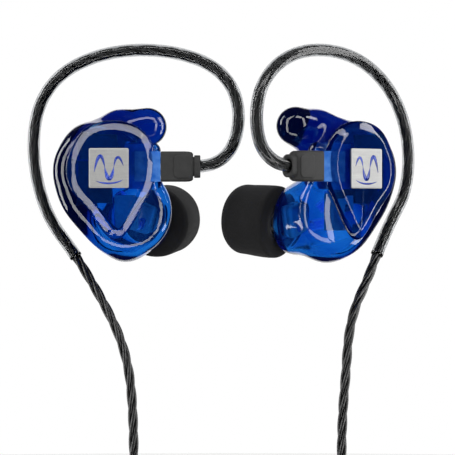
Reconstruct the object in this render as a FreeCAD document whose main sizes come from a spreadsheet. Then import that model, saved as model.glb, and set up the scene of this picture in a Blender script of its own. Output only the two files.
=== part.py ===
import FreeCAD, Part
import math
import os
from FreeCAD import Placement, Rotation, Vector

# A pair of in ear monitors with their detachable cable, as worn: +Z is up, the faceplates look
# towards -Y, and the origin is the inner crest of the right ear loop, where the ear carries it.
# Each monitor is drawn in its own ear frame: x forward to the cable socket, y from the faceplate
# into the head, z up, with the origin at the middle of the faceplate badge. The left monitor is
# the mirror image of the right one.

SIZES = {
    # where the two ear frames lie
    "ear_reach": 5.1, "ear_depth": 7.0, "ear_drop": 20.4,
    "pair_gap": 45.9, "left_drop": 0.1, "left_yaw": 37.0,
    # shell and faceplate
    "wall": 0.9, "plate_thick": 1.5, "plate_round": 0.6,
    "badge_side": 7.1, "badge_thick": 0.75, "badge_proud": 0.15, "badge_round": 0.35, "badge_gap": 0.05,
    "lobe_root": 4.4, "lobe_end": 2.6, "canal_root": 7.4, "canal_end": 5.3,
    # two-pin plug and its socket, centred on plug_level and plug_middle
    "plug_level": 0.3, "plug_middle": 2.1, "plug_face": 9.2, "plug_high": 5.4, "plug_thick": 3.4,
    "plug_long": 5.8, "plug_corner": 0.5, "panel_start": 11.5, "panel_long": 3.3, "panel_high": 4.3,
    "panel_proud": 0.25, "collar_long": 1.3, "collar_high": 4.05, "collar_thick": 3.0, "collar_corner": 1.0,
    "cord_hole": 2.6, "cord_seat": 1.1,
    "pin_dia": 0.78, "pin_long": 4.0, "pin_seat": 1.5, "pin_pitch": 2.1,
    "socket_deep": 4.6, "socket_thick": 3.0, "socket_gap": 0.05, "contact_dia": 1.3, "contact_bore": 0.84,
    "contact_end": 0.3, "cup_long": 4.6, "cup_high": 8.0, "cup_thick": 3.0, "cup_back": 7.4,
    "cup_gap": 0.1, "plug_gap": 0.05,
    # drivers and their sound path
    "bass_wide": 6.0, "bass_high": 7.5, "bass_thick": 4.2,
    "mid_wide": 4.2, "mid_high": 6.2, "mid_thick": 2.8,
    "treble_wide": 4.2, "treble_high": 5.7, "treble_thick": 2.4, "treble_back": 4.4,
    "spout_dia": 1.2, "spout_long": 0.5,
    "board_wide": 6.6, "board_high": 4.4, "board_thick": 0.6,
    "tube_dia": 2.2, "tube_bore": 1.4, "wire_dia": 0.36,
    # nozzle and ear tip, along the nozzle axis from the back face of the tip
    "nozzle_yaw": 19.0, "nozzle_pitch": 5.0, "nozzle_dia": 4.9, "nozzle_bore": 3.4,
    "nozzle_root": 1.8, "nozzle_mouth": 5.2, "canal_gap": 0.6, "damper_thick": 1.1, "mesh_thick": 0.3,
    "tip_dia": 13.2, "tip_end_dia": 12.2, "tip_long": 9.8, "tip_round": 2.4, "tip_back_round": 0.7,
    "core_dia": 6.3, "core_bore": 5.0, "core_long": 8.6,
    # cable
    "lead_dia": 1.8, "sleeve_dia": 2.3, "sleeve_bore": 1.9, "main_dia": 2.3,
    "lead_coil": 9.9, "lead_turns": 3.0, "lead_pitch": 1.9, "coil_tuck": 0.1,
    "main_coil": 11.5, "main_turns": 6.0, "main_pitch": 2.4,
    "tie_wide": 3.0, "tie_thick": 0.7, "tie_gap": 0.2,
    "split_dia": 5.6, "split_long": 13.0, "split_nose": 4.0, "split_tail_dia": 3.4, "split_round": 0.5,
    # 3.5 mm three-pole jack
    "relief_long": 10.0, "relief_root": 4.4, "relief_end": 3.0, "grip_dia": 6.4, "grip_long": 16.0,
    "grip_round": 0.6, "pole_dia": 3.5, "sleeve_pole": 6.0, "ring_pole": 2.2, "tip_pole": 4.2,
    "pole_gap": 0.8, "tip_neck": 2.4, "tip_bulb": 1.2,
}

# outline of the faceplate in the ear frame, x and z
PLATE_OUTLINE = [(0.0, 7.9), (4.8, 6.9), (7.6, 3.2), (7.6, -2.0), (5.2, -7.0), (2.8, -11.0),
                 (1.2, -12.1), (-0.5, -11.1), (-3.4, -7.0), (-6.5, -3.2), (-7.0, 1.2), (-4.4, 6.2)]

# outlines of the shell in the ear frame, each at its depth behind the faceplate's front
SHELL_OUTLINES = {
    1.5: [(0.0, 8.7), (5.2, 7.6), (8.4, 3.6), (8.4, -2.3), (5.9, -7.4), (3.2, -11.8),
          (1.2, -13.0), (-1.1, -11.9), (-4.1, -7.5), (-7.3, -3.5), (-7.8, 1.4), (-5.0, 6.9)],
    3.2: [(0.0, 9.4), (5.4, 8.4), (9.0, 4.4), (9.1, -2.4), (7.2, -8.4), (4.0, -13.4),
          (1.0, -14.6), (-2.0, -13.4), (-6.0, -9.4), (-9.8, -4.2), (-10.2, 1.4), (-6.6, 7.0)],
    6.5: [(1.0, 10.3), (6.0, 9.2), (8.8, 4.6), (8.4, -1.6), (8.2, -8.4), (5.6, -14.2),
          (2.0, -15.8), (-1.4, -14.4), (-5.0, -10.4), (-8.0, -5.0), (-8.2, 1.2), (-4.8, 7.6)],
    10.0: [(2.5, 10.0), (6.4, 8.8), (7.6, 5.0), (6.4, 0.4), (7.6, -7.0), (6.8, -12.6),
           (3.4, -14.8), (0.4, -13.4), (-2.0, -9.6), (-3.4, -5.0), (-3.4, 1.4), (-1.4, 7.0)],
}
SHELL_MIDDLE = (0.8, -2.4)

# the lobe that locks under the ear's upper fold, and the canal that carries the nozzle
LOBE_ROOT = Vector(2.5, 7.0, 5.3)
LOBE_END = Vector(7.6, 12.4, 7.9)
CANAL_ROOT = Vector(3.4, 7.2, -7.8)
TIP_BACK = Vector(7.6, 15.3, -9.6)

# corners of the cable's routes: straight runs joined by arcs
RIGHT_LEAD = [(10.2, -4.9, -20.1), (12.4, -4.9, -20.0), (14.9, -4.9, -19.0), (16.7, -4.7, -17.1),
              (17.8, -4.4, -14.3), (18.2, -4.0, -10.1), (17.0, -3.4, -5.6), (13.5, -2.6, -1.8),
              (7.5, -1.5, 0.5), (0.0, 0.0, 1.35), (-7.7, 1.2, 0.4), (-14.5, 2.2, -2.8),
              (-18.5, 2.9, -8.2), (-19.7, 3.3, -15.0), (-19.1, 3.5, -22.2), (-16.7, 3.4, -29.6),
              (-12.3, 3.1, -35.4), (-8.9, 2.7, -40.8), (-5.7, 2.2, -46.3), (-3.2, 1.7, -51.6),
              (-1.7, 1.3, -57.4), (-1.1, 1.0, -64.2), (-0.9, 0.9, -71.9), (-1.1, 1.0, -79.2),
              (-0.9, 0.9, -86.0)]
LEFT_LEAD = [(27.4, -14.6, -20.2), (25.6, -15.9, -20.1), (23.7, -17.3, -19.2), (22.1, -18.4, -17.4),
             (21.2, -18.8, -14.6), (21.0, -18.3, -10.5), (22.1, -16.6, -5.7), (25.4, -13.0, -1.5),
             (30.2, -8.0, 0.7), (36.2, -1.8, 0.8), (41.4, 3.6, -1.1), (45.8, 8.3, -5.1),
             (48.8, 11.4, -10.9), (49.9, 12.6, -17.9), (49.1, 12.2, -24.7), (46.4, 10.0, -29.5),
             (44.0, 7.9, -34.7), (41.8, 5.9, -40.4), (39.3, 3.6, -45.4), (38.0, 2.3, -50.9),
             (37.6, 1.7, -57.1), (37.0, 1.1, -63.5), (36.7, 0.9, -71.3), (36.9, 1.0, -78.9),
             (36.7, 0.9, -86.0)]
RIGHT_TAIL = [(-0.9, 6.6, -86.0), (-0.9, 6.5, -93.0), (2.4, 6.2, -98.8), (8.2, 5.6, -101.4),
              (13.2, 4.8, -104.8), (16.4, 4.3, -110.4), (16.9, 4.0, -116.9)]
LEFT_TAIL = [(36.7, 6.6, -86.0), (36.7, 6.5, -92.6), (33.0, 6.0, -98.0), (27.2, 5.4, -101.0),
             (22.5, 4.7, -104.9), (19.4, 4.3, -110.6), (18.9, 4.0, -116.9)]
MAIN_LEAD = [(17.9, 4.0, -130.1), (17.8, 4.1, -134.8), (17.9, 4.0, -139.8), (17.8, 4.0, -144.6)]
MAIN_TAIL = [(20.1, 6.4, -144.6), (20.1, 6.3, -152.0), (20.2, 6.0, -158.9)]
SPLIT_TOP = Vector(17.9, 4.0, -117.0)
JACK_TOP = Vector(20.2, 6.0, -159.0)
SLEEVED_CORNERS = 17          # the ear sleeve ends halfway along the run after this corner
ARC_SHARE = 0.45              # part of the shorter run that each arc takes

FORWARD, DEPTH, UP = Vector(1, 0, 0), Vector(0, 1, 0), Vector(0, 0, 1)

doc = FreeCAD.newDocument("in_ear_monitors")
sheet = doc.addObject("Spreadsheet::Sheet", "sizes")
for row, (alias, value) in enumerate(SIZES.items(), start=1):
    sheet.set(f"A{row}", alias)
    sheet.set(f"B{row}", str(value))
    sheet.setAlias(f"B{row}", alias)
doc.recompute()

finished = {}


def size(alias):
    """One driving dimension, read from the sheet."""
    return float(sheet.get(alias))


def bind(thing, **formulas):
    """Ties properties of an object to the sheet's cells."""
    for name, formula in formulas.items():
        thing.setExpression(name, formula)
    return thing


def keep(name, thing, place=None):
    """Registers a finished sub-part under its file name, and puts it in the model's frame."""
    thing.Label = name
    if place is not None:
        thing.Placement = place
    finished[name] = thing
    return thing


def box(name, length, width, height, corner=Vector()):
    solid = bind(doc.addObject("Part::Box", name), Length=length, Width=width, Height=height)
    solid.Placement = Placement(corner, Rotation())
    return solid


def rod(name, radius, length, start, direction):
    """A cylinder from a start point along a direction."""
    solid = bind(doc.addObject("Part::Cylinder", name), Radius=radius, Height=length)
    solid.Placement = Placement(start, Rotation(UP, direction))
    return solid


def cone(name, root_radius, end_radius, root, end):
    """A cone frustum between two points."""
    solid = bind(doc.addObject("Part::Cone", name), Radius1=root_radius, Radius2=end_radius)
    solid.Height = (end - root).Length
    solid.Placement = Placement(root, Rotation(UP, end - root))
    return solid


def cut(name, base, tool):
    solid = doc.addObject("Part::Cut", name)
    solid.Base, solid.Tool = base, tool
    return solid


def fuse(name, solids):
    solid = doc.addObject("Part::MultiFuse", name)
    solid.Shapes = solids
    return solid


def group(name, solids):
    """Separate solids that share one node."""
    members = doc.addObject("Part::Compound", name)
    members.Links = solids
    return members


def body(name):
    return doc.addObject("PartDesign::Body", name)


def sketch(owner, role, name, offset=Vector()):
    """A sketch on one of the body's own origin planes, shifted by an offset in the plane's axes."""
    plane = next(item for item in owner.Origin.OriginFeatures if item.Role == role)
    drawing = owner.newObject("Sketcher::SketchObject", name)
    drawing.AttachmentSupport = [(plane, "")]
    drawing.MapMode = "FlatFace"
    drawing.AttachmentOffset = Placement(offset, Rotation())
    return drawing


def rectangle(drawing, wide, high, radius):
    """A centred rectangle with round corners, whose numbers are read from the sheet."""
    half_wide, half_high = wide / 2, high / 2
    flat_x, flat_y = half_wide - radius, half_high - radius
    sides = [((-flat_x, -half_high), (flat_x, -half_high)), ((half_wide, -flat_y), (half_wide, flat_y)),
             ((flat_x, half_high), (-flat_x, half_high)), ((-half_wide, flat_y), (-half_wide, -flat_y))]
    for start, end in sides:
        drawing.addGeometry(Part.LineSegment(Vector(*start, 0), Vector(*end, 0)), False)
    for quarter, (x, y) in enumerate([(flat_x, -flat_y), (flat_x, flat_y), (-flat_x, flat_y),
                                      (-flat_x, -flat_y)]):
        circle = Part.Circle(Vector(x, y, 0), UP, radius)
        start = (quarter - 1) * math.pi / 2
        drawing.addGeometry(Part.ArcOfCircle(circle, start, start + math.pi / 2), False)


def pad(owner, drawing, length, reverse=False):
    feature = owner.newObject("PartDesign::Pad", drawing.Name + "_pad")
    feature.Profile = drawing
    feature.setExpression("Length", length)
    feature.Reversed = reverse
    return feature


def pocket(owner, drawing, length, reverse=False):
    feature = owner.newObject("PartDesign::Pocket", drawing.Name + "_pocket")
    feature.Profile = drawing
    feature.setExpression("Length", length)
    feature.Reversed = reverse
    return feature


def closed_curve(points):
    """A smooth closed curve through points, for a sketch or a section."""
    curve = Part.BSplineCurve()
    curve.interpolate(points, PeriodicFlag=True)
    return curve


def ear_wall(name, depth, outline, inset):
    """One closed section of the shell at a depth, drawn in by an inset towards the shell's middle."""
    middle = Vector(SHELL_MIDDLE[0], depth, SHELL_MIDDLE[1])
    points = []
    for x, z in outline:
        out = Vector(x, depth, z) - middle
        points.append(middle + out * ((out.Length - inset) / out.Length))
    section = doc.addObject("Part::Feature", name)
    section.Shape = Part.Wire([closed_curve(points).toShape()])
    return section


def route_wire(points, last_corner=None):
    """Straight runs joined by tangent arcs, each as large as its two runs allow. With last_corner,
    the wire stops halfway along the run after that corner. Returns the wire and its smallest radius."""
    corners = [Vector(*point) for point in points]
    edges, here, least = [], corners[0], math.inf
    for before, corner, after in zip(corners, corners[1:], corners[2:]):
        inward, outward = (before - corner), (after - corner)
        reach = ARC_SHARE * min(inward.Length, outward.Length)
        half_turn = (math.pi - inward.getAngle(outward)) / 2
        least = min(least, reach / math.tan(half_turn))
        start = corner + inward.normalize() * reach
        end = corner + outward.normalize() * reach
        bisector = (inward + outward).normalize()
        rise = reach / math.tan(half_turn) * (1 / math.cos(half_turn) - 1)
        edges.append(Part.LineSegment(here, start).toShape())
        edges.append(Part.Arc(start, corner + bisector * rise, end).toShape())
        here = end
        if last_corner is not None and corner == corners[last_corner - 1]:
            edges.append(Part.LineSegment(here, (corner + after) * 0.5).toShape())
            return Part.Wire(edges), least
    edges.append(Part.LineSegment(here, corners[-1]).toShape())
    return Part.Wire(edges), least


def tube(name, points, diameter, last_corner=None):
    """A round tube swept along a route, its radius bound to the sheet."""
    wire, least = route_wire(points, last_corner)
    spine = doc.addObject("Part::Feature", name + "_route")
    spine.Shape = wire
    start = Vector(*points[0])
    ring = bind(doc.addObject("Part::Circle", name + "_section"), Radius=f"sizes.{diameter} / 2")
    ring.Placement = Placement(start, Rotation(UP, Vector(*points[1]) - start))
    sweep = doc.addObject("Part::Sweep", name + "_tube")
    sweep.Sections = [ring]
    sweep.Spine = (spine, [f"Edge{i + 1}" for i in range(len(wire.Edges))])
    sweep.Solid = True
    doc.recompute()
    expected = math.pi / 4 * size(diameter) ** 2 * wire.Length
    print(f"{name}: length {wire.Length:.1f} mm, least radius {least:.1f} mm, "
          f"volume over section times length {sweep.Shape.Volume / expected:.4f}")
    return sweep


# --- where the ears are ------------------------------------------------------------------------
right_ear = Placement(Vector(-size("ear_reach"), -size("ear_depth"), -size("ear_drop")), Rotation())
left_ear = Placement(Vector(size("pair_gap") - size("ear_reach"), -size("ear_depth"),
                            -size("ear_drop") - size("left_drop")), Rotation(UP, size("left_yaw")))
nozzle_yaw, nozzle_pitch = math.radians(size("nozzle_yaw")), math.radians(size("nozzle_pitch"))
NOZZLE_AXIS = Vector(math.sin(nozzle_yaw) * math.cos(nozzle_pitch),
                     math.cos(nozzle_yaw) * math.cos(nozzle_pitch), math.sin(nozzle_pitch))
nozzle_place = right_ear.multiply(Placement(TIP_BACK, Rotation(UP, NOZZLE_AXIS)))
CANAL_END = TIP_BACK - NOZZLE_AXIS * size("canal_gap")

# --- faceplate: a lens-edged lid with a square seat for the badge --------------------------------
faceplate = body("right_faceplate")
drawing = sketch(faceplate, "XZ_Plane", "plate_outline")
drawing.addGeometry(closed_curve([Vector(x, z, 0) for x, z in PLATE_OUTLINE]), False)
lid = pad(faceplate, drawing, "sizes.plate_thick", reverse=True)
doc.recompute()
front = min(range(len(lid.Shape.Edges)), key=lambda i: lid.Shape.Edges[i].BoundBox.YMax)
rounding = faceplate.newObject("PartDesign::Fillet", "plate_edge")
rounding.Base = (lid, [f"Edge{front + 1}"])
bind(rounding, Radius="sizes.plate_round")
doc.recompute()
seat = sketch(faceplate, "XZ_Plane", "badge_seat")
rectangle(seat, size("badge_side") + 2 * size("badge_gap"), size("badge_side") + 2 * size("badge_gap"),
          size("badge_round"))
full_volume = faceplate.Shape.Volume
pocket(faceplate, seat, "sizes.badge_thick - sizes.badge_proud")
doc.recompute()
print("badge seat takes", round(full_volume - faceplate.Shape.Volume, 2), "mm3")

# --- badge: a small square plate, a little proud of the lid --------------------------------------
badge = body("right_badge")
drawing = sketch(badge, "XZ_Plane", "badge_outline", Vector(0, 0, size("badge_proud")))
rectangle(drawing, size("badge_side"), size("badge_side"), size("badge_round"))
pad(badge, drawing, "sizes.badge_thick", reverse=True)
keep("right_badge", badge, right_ear)

# --- shell: a thin hollow body with an upper lobe and a canal ------------------------------------


def shell_form(name, inset, front_shift):
    """The shell's outer form, or its cavity when an inset is given."""
    sections = []
    for step, (depth, outline) in enumerate(SHELL_OUTLINES.items()):
        shift = front_shift if step == 0 else (-inset if depth == max(SHELL_OUTLINES) else 0.0)
        sections.append(ear_wall(f"{name}_section_{step}", depth + shift, outline, inset))
    loft = doc.addObject("Part::Loft", name + "_loft")
    loft.Sections, loft.Solid = sections, True
    thin = f" - {inset}"
    canal_end = CANAL_END - NOZZLE_AXIS * inset
    lobe = cone(name + "_lobe", "sizes.lobe_root" + thin, "sizes.lobe_end" + thin, LOBE_ROOT, LOBE_END)
    knob = bind(doc.addObject("Part::Sphere", name + "_knob"), Radius="sizes.lobe_end" + thin)
    knob.Placement = Placement(LOBE_END, Rotation())
    canal = cone(name + "_canal", "sizes.canal_root" + thin, "sizes.canal_end" + thin, CANAL_ROOT,
                 canal_end)
    beyond = rod(name + "_beyond", "sizes.tip_dia", "sizes.tip_long", canal_end, NOZZLE_AXIS)
    return cut(name, fuse(name + "_joined", [loft, lobe, knob, canal]), beyond)


outer = shell_form("shell_outside", 0.0, 0.0)
cavity = shell_form("shell_cavity", size("wall"), -0.2)
SOCKET_CORNER = Vector(size("plug_face") - size("socket_deep"),
                       size("plug_middle") - size("socket_thick") / 2,
                       size("plug_level") - size("plug_high") / 2)
gap = size("socket_gap")
window = box("socket_window", "sizes.socket_deep + 1", "sizes.socket_thick + 2 * sizes.socket_gap",
             "sizes.plug_high + 2 * sizes.socket_gap", SOCKET_CORNER - Vector(0, gap, gap))
outlet = rod("nozzle_hole", "sizes.nozzle_dia / 2", "sizes.canal_end",
             CANAL_END - NOZZLE_AXIS * size("treble_back"), NOZZLE_AXIS)
hollow = cut("shell_hollow", outer, cavity)
landing = box("plug_landing", "sizes.plug_long", "sizes.plug_thick + 2 * sizes.plug_gap",
              "sizes.plug_high + 2 * sizes.plug_gap",
              Vector(size("plug_face") - size("plug_gap"),
                     size("plug_middle") - size("plug_thick") / 2 - size("plug_gap"),
                     size("plug_level") - size("plug_high") / 2 - size("plug_gap")))
keep("right_shell", cut("right_shell", hollow, group("shell_openings", [window, outlet, landing])),
     right_ear)

plate_window = box("plate_window", "sizes.socket_deep + 1", "sizes.socket_thick + 2 * sizes.socket_gap",
                   "sizes.plug_high + 2 * sizes.socket_gap", SOCKET_CORNER - Vector(0, gap, gap))
keep("right_faceplate", cut("right_faceplate_lid", faceplate, plate_window), right_ear)

# --- socket: a moulded block with two contact tubes in a cup -------------------------------------
PIN_LEVELS = [size("plug_level") + side * size("pin_pitch") / 2 for side in (-1, 1)]


def pin_rods(name, radius, length, start):
    """A rod on each of the two pin axes, from a forward position on."""
    return group(name, [rod(f"{name}_{i}", radius, length, Vector(start, size("plug_middle"), level), FORWARD)
                        for i, level in enumerate(PIN_LEVELS)])


socket_back = size("plug_face") - size("socket_deep")
block = box("socket_body", "sizes.socket_deep", "sizes.socket_thick", "sizes.plug_high", SOCKET_CORNER)
contact_holes = pin_rods("contact_holes", "sizes.contact_dia / 2", "sizes.socket_deep",
                         socket_back + size("contact_end"))
keep("right_socket_block", cut("right_socket_block", block, contact_holes), right_ear)
contacts = pin_rods("contact_bodies", "sizes.contact_dia / 2", "sizes.socket_deep - sizes.contact_end",
                    socket_back + size("contact_end"))
contact_bores = pin_rods("contact_bores", "sizes.contact_bore / 2", "sizes.socket_deep",
                         size("plug_face") - size("pin_long") - size("contact_end") / 3)
keep("right_socket_contacts", cut("right_socket_contacts", contacts, contact_bores), right_ear)
cup = box("cup_body", "sizes.cup_long", "sizes.cup_thick", "sizes.cup_high",
          Vector(size("cup_back") - size("cup_long"), size("plate_thick") + size("cup_gap"),
                 size("plug_level") - size("cup_high") / 2))
cup_hole = box("cup_hole", "sizes.socket_deep", "sizes.socket_thick + sizes.socket_gap", "sizes.plug_high",
               SOCKET_CORNER)
keep("right_socket_cup", cut("right_socket_cup", cup, cup_hole), right_ear)

# --- drivers, their board and the sound path -----------------------------------------------------
BASS_CORNER, MID_CORNER = Vector(-5.6, 3.2, -6.2), Vector(0.9, 3.2, -11.0)
BOARD_CORNER, TREBLE_SHIFT = Vector(-5.2, 2.0, 1.6), Vector(-0.4, 0.2, 0.9)
keep("right_bass_driver", box("right_bass_driver", "sizes.bass_wide", "sizes.bass_thick", "sizes.bass_high"),
     right_ear.multiply(Placement(BASS_CORNER, Rotation())))
keep("right_mid_driver", box("right_mid_driver", "sizes.mid_wide", "sizes.mid_thick", "sizes.mid_high"),
     right_ear.multiply(Placement(MID_CORNER, Rotation())))
treble_case = box("treble_case", "sizes.treble_wide", "sizes.treble_high", "sizes.treble_thick",
                  Vector(-size("treble_wide") / 2, -size("treble_high") / 2, -size("treble_back")))
treble_spout = rod("treble_spout", "sizes.spout_dia / 2", "sizes.spout_long",
                   Vector(0, 0, size("treble_thick") - size("treble_back")), UP)
keep("right_treble_driver", fuse("right_treble_driver", [treble_case, treble_spout]),
     right_ear.multiply(Placement(TIP_BACK + TREBLE_SHIFT, Rotation(UP, NOZZLE_AXIS))))
keep("right_crossover_board", box("right_crossover_board", "sizes.board_wide", "sizes.board_thick",
                                  "sizes.board_high"),
     right_ear.multiply(Placement(BOARD_CORNER, Rotation())))

SOUND_PATHS = [(Vector(1.6, 7.1, -4.8), Vector(3.4, 9.4, -7.2)),
               (Vector(3.6, 6.8, -9.6), Vector(4.8, 9.4, -10.2))]
tube_bodies = [cone(f"sound_tube_{i}", "sizes.tube_dia / 2", "sizes.tube_dia / 2", start, end)
               for i, (start, end) in enumerate(SOUND_PATHS)]
tube_bores = [cone(f"sound_bore_{i}", "sizes.tube_bore / 2", "sizes.tube_bore / 2", start, end)
              for i, (start, end) in enumerate(SOUND_PATHS)]
keep("right_sound_tubes", cut("right_sound_tubes", group("tube_bodies", tube_bodies),
                              group("tube_bores", tube_bores)), right_ear)
WIRE_RUNS = [(Vector(2.3, 2.4, 1.6), Vector(1.5, 3.2, 3.2)), (Vector(2.3, 2.4, -0.8), Vector(0.7, 4.6, -1.4)),
             (Vector(-2.0, 2.4, 1.3), Vector(-2.4, 2.9, -1.6))]
keep("right_hookup_wires", group("right_hookup_wires", [
    cone(f"hookup_wire_{i}", "sizes.wire_dia / 2", "sizes.wire_dia / 2", start, end)
    for i, (start, end) in enumerate(WIRE_RUNS)]), right_ear)

# --- nozzle with its damper and mesh, along the nozzle axis --------------------------------------
nozzle_wall = rod("nozzle_wall", "sizes.nozzle_dia / 2", "sizes.nozzle_root + sizes.nozzle_mouth",
                  Vector(0, 0, -size("nozzle_root")), UP)
nozzle_hole = rod("nozzle_bore_hole", "sizes.nozzle_bore / 2", "sizes.nozzle_root + sizes.nozzle_mouth",
                  Vector(0, 0, -size("nozzle_root")), UP)
keep("right_nozzle", cut("right_nozzle", nozzle_wall, nozzle_hole), nozzle_place)
keep("right_damper", rod("right_damper", "sizes.nozzle_bore / 2", "sizes.damper_thick", Vector(), UP),
     nozzle_place)
keep("right_nozzle_mesh", rod("right_nozzle_mesh", "sizes.nozzle_bore / 2", "sizes.mesh_thick", Vector(), UP),
     nozzle_place.multiply(Placement(Vector(0, 0, size("nozzle_mouth") - size("mesh_thick")), Rotation())))

# --- ear tip: soft foam on a core tube -----------------------------------------------------------
foam = bind(doc.addObject("Part::Cone", "foam_body"), Radius1="sizes.tip_dia / 2",
            Radius2="sizes.tip_end_dia / 2", Height="sizes.tip_long")
doc.recompute()
foam_edges = sorted(range(len(foam.Shape.Edges)), key=lambda i: foam.Shape.Edges[i].CenterOfMass.z)
soft = doc.addObject("Part::Fillet", "foam_rounded")
soft.Base = foam
soft.Edges = [(foam_edges[0] + 1, size("tip_back_round"), size("tip_back_round")),
              (foam_edges[-1] + 1, size("tip_round"), size("tip_round"))]
bore = rod("foam_bore", "sizes.core_dia / 2", "sizes.tip_long", Vector(), UP)
keep("right_foam_tip", cut("right_foam_tip", soft, bore), nozzle_place)
core_wall = rod("core_wall", "sizes.core_dia / 2", "sizes.core_long", Vector(), UP)
core_hole = rod("core_hole", "sizes.core_bore / 2", "sizes.core_long", Vector(), UP)
keep("right_tip_core", cut("right_tip_core", core_wall, core_hole), nozzle_place)

# --- two-pin plug: a rounded block, a raised panel and a collar ----------------------------------
plug = body("plug_block")
plug_offset = Vector(size("plug_middle"), size("plug_level"), size("plug_face"))
drawing = sketch(plug, "YZ_Plane", "plug_section", plug_offset)
rectangle(drawing, size("plug_thick"), size("plug_high"), size("plug_corner"))
pad(plug, drawing, "sizes.plug_long")
collar = sketch(plug, "YZ_Plane", "collar_section", plug_offset + Vector(0, 0, size("plug_long")))
rectangle(collar, size("collar_thick"), size("collar_high"), size("collar_corner"))
pad(plug, collar, "sizes.collar_long")
panel_middle = size("panel_start") + size("panel_long") / 2
panel = sketch(plug, "XZ_Plane", "panel_outline",
               Vector(panel_middle, size("plug_level"), -size("plug_middle") + size("plug_thick") / 2))
rectangle(panel, size("panel_long"), size("panel_high"), size("collar_corner"))
pad(plug, panel, "sizes.panel_proud")
doc.recompute()
plug_end = size("plug_face") + size("plug_long") + size("collar_long")
cord_hole = rod("cord_hole_tool", "sizes.cord_hole / 2", "sizes.cord_seat + 1",
                Vector(plug_end - size("cord_seat"), size("plug_middle"), size("plug_level")), FORWARD)
pin_holes = pin_rods("pin_holes", "sizes.pin_dia / 2", "sizes.pin_seat", size("plug_face"))
keep("right_plug_housing", cut("right_plug_housing", plug, group("plug_holes", [cord_hole, pin_holes])),
     right_ear)
keep("right_plug_pins", pin_rods("right_plug_pins", "sizes.pin_dia / 2", "sizes.pin_long + sizes.pin_seat",
                                 size("plug_face") - size("pin_long")), right_ear)

# --- left side: every right-hand piece again as its mirror image ---------------------------------
mirror_place = left_ear.multiply(right_ear.inverse())
for name, thing in list(finished.items()):
    twin = doc.addObject("Part::Mirroring", name.replace("right_", "left_"))
    twin.Source = thing
    twin.Base, twin.Normal = right_ear.Base, FORWARD
    keep(name.replace("right_", "left_"), twin, mirror_place)

# --- cable: two sleeved leads, their coils, the Y-split and the main lead ------------------------


def coil_ring(name, middle, first_layer, layers, diameter, turns, pitch, start_depth):
    """The outer form of a coil whose turns lie side by side along Y, in one or two layers."""
    wide = turns * size(pitch) + size(diameter)
    low = first_layer - size(diameter) / 2
    high = first_layer + (layers - 0.5) * size(diameter)
    start = Vector(middle[0], start_depth - size(diameter) / 2, middle[1])
    ring = doc.addObject("Part::Feature", name)
    ring.Shape = (Part.makeCylinder(high, wide, start, DEPTH).cut(Part.makeCylinder(low, wide, start, DEPTH)))
    core = doc.addObject("Part::Feature", name + "_filled")
    core.Shape = Part.makeCylinder(high, wide, start, DEPTH)
    keep(name, ring)
    return core, low, high, wide, start


def tie_strap(name, low, high, wide, start, at_angle):
    """A strap round the coil's bundle of turns, centred at an angle from +X in the coil's plane."""
    gap, thick, strap = size("tie_gap"), size("tie_thick"), size("tie_wide")
    inner = (high - low + 2 * gap, wide + 2 * gap, strap)
    outside = (inner[0] + 2 * thick, inner[1] + 2 * thick, strap)
    shapes = [Part.makeBox(*block, Vector(-block[0] / 2, -block[1] / 2, -strap / 2))
              for block in (outside, inner)]
    band = doc.addObject("Part::Feature", name)
    band.Shape = shapes[0].cut(shapes[1])
    middle = (low + high) / 2
    spot = Vector(start.x + middle * math.cos(at_angle), start.y + wide / 2,
                  start.z + middle * math.sin(at_angle))
    keep(name, band, Placement(spot, Rotation(DEPTH, -math.degrees(at_angle))))


COIL_LEVEL = RIGHT_LEAD[-1][2]
for side, lead, tail, turn_way in (("right", RIGHT_LEAD, RIGHT_TAIL, -1), ("left", LEFT_LEAD, LEFT_TAIL, 1)):
    middle = (lead[-1][0] + turn_way * (size("lead_coil") - size("coil_tuck")), COIL_LEVEL)
    core, low, high, wide, start = coil_ring(f"{side}_lead_coil", middle, size("lead_coil"), 1, "lead_dia",
                                             size("lead_turns"), "lead_pitch", lead[-1][1])
    keep(f"{side}_lead", cut(f"{side}_lead", tube(f"{side}_lead", lead, "lead_dia"), core))
    keep(f"{side}_lead_tail", cut(f"{side}_lead_tail", tube(f"{side}_lead_tail", tail, "lead_dia"), core))
    sleeve_out = tube(f"{side}_sleeve_outside", lead, "sleeve_dia", SLEEVED_CORNERS)
    sleeve_in = tube(f"{side}_sleeve_inside", lead, "sleeve_bore", SLEEVED_CORNERS)
    keep(f"{side}_ear_sleeve", cut(f"{side}_ear_sleeve", sleeve_out, sleeve_in))
    tie_strap(f"{side}_coil_tie", low, high, wide, start, -math.pi / 2)

main_middle = (MAIN_LEAD[-1][0] - size("main_coil") + size("coil_tuck"), MAIN_LEAD[-1][2])
core, low, high, wide, start = coil_ring("main_coil", main_middle, size("main_coil"), 2, "main_dia",
                                         size("main_turns"), "main_pitch", MAIN_LEAD[-1][1])
keep("main_lead", cut("main_lead", tube("main_lead", MAIN_LEAD, "main_dia"), core))
keep("main_lead_tail", cut("main_lead_tail", tube("main_lead_tail", MAIN_TAIL, "main_dia"), core))
tie_strap("main_coil_tie", low, high, wide, start, math.pi)

# --- Y-split: a turned barrel that narrows to the main lead --------------------------------------
barrel = rod("split_barrel", "sizes.split_dia / 2", "sizes.split_long - sizes.split_nose", Vector(), -UP)
nose = cone("split_nose", "sizes.split_dia / 2", "sizes.split_tail_dia / 2",
            Vector(0, 0, size("split_nose") - size("split_long")), Vector(0, 0, -size("split_long")))
split = fuse("split_form", [barrel, nose])
doc.recompute()
top_edge = max(range(len(split.Shape.Edges)), key=lambda i: split.Shape.Edges[i].BoundBox.ZMin)
rounded = doc.addObject("Part::Fillet", "y_split")
rounded.Base = split
rounded.Edges = [(top_edge + 1, size("split_round"), size("split_round"))]
keep("y_split", rounded, Placement(SPLIT_TOP, Rotation()))

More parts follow.
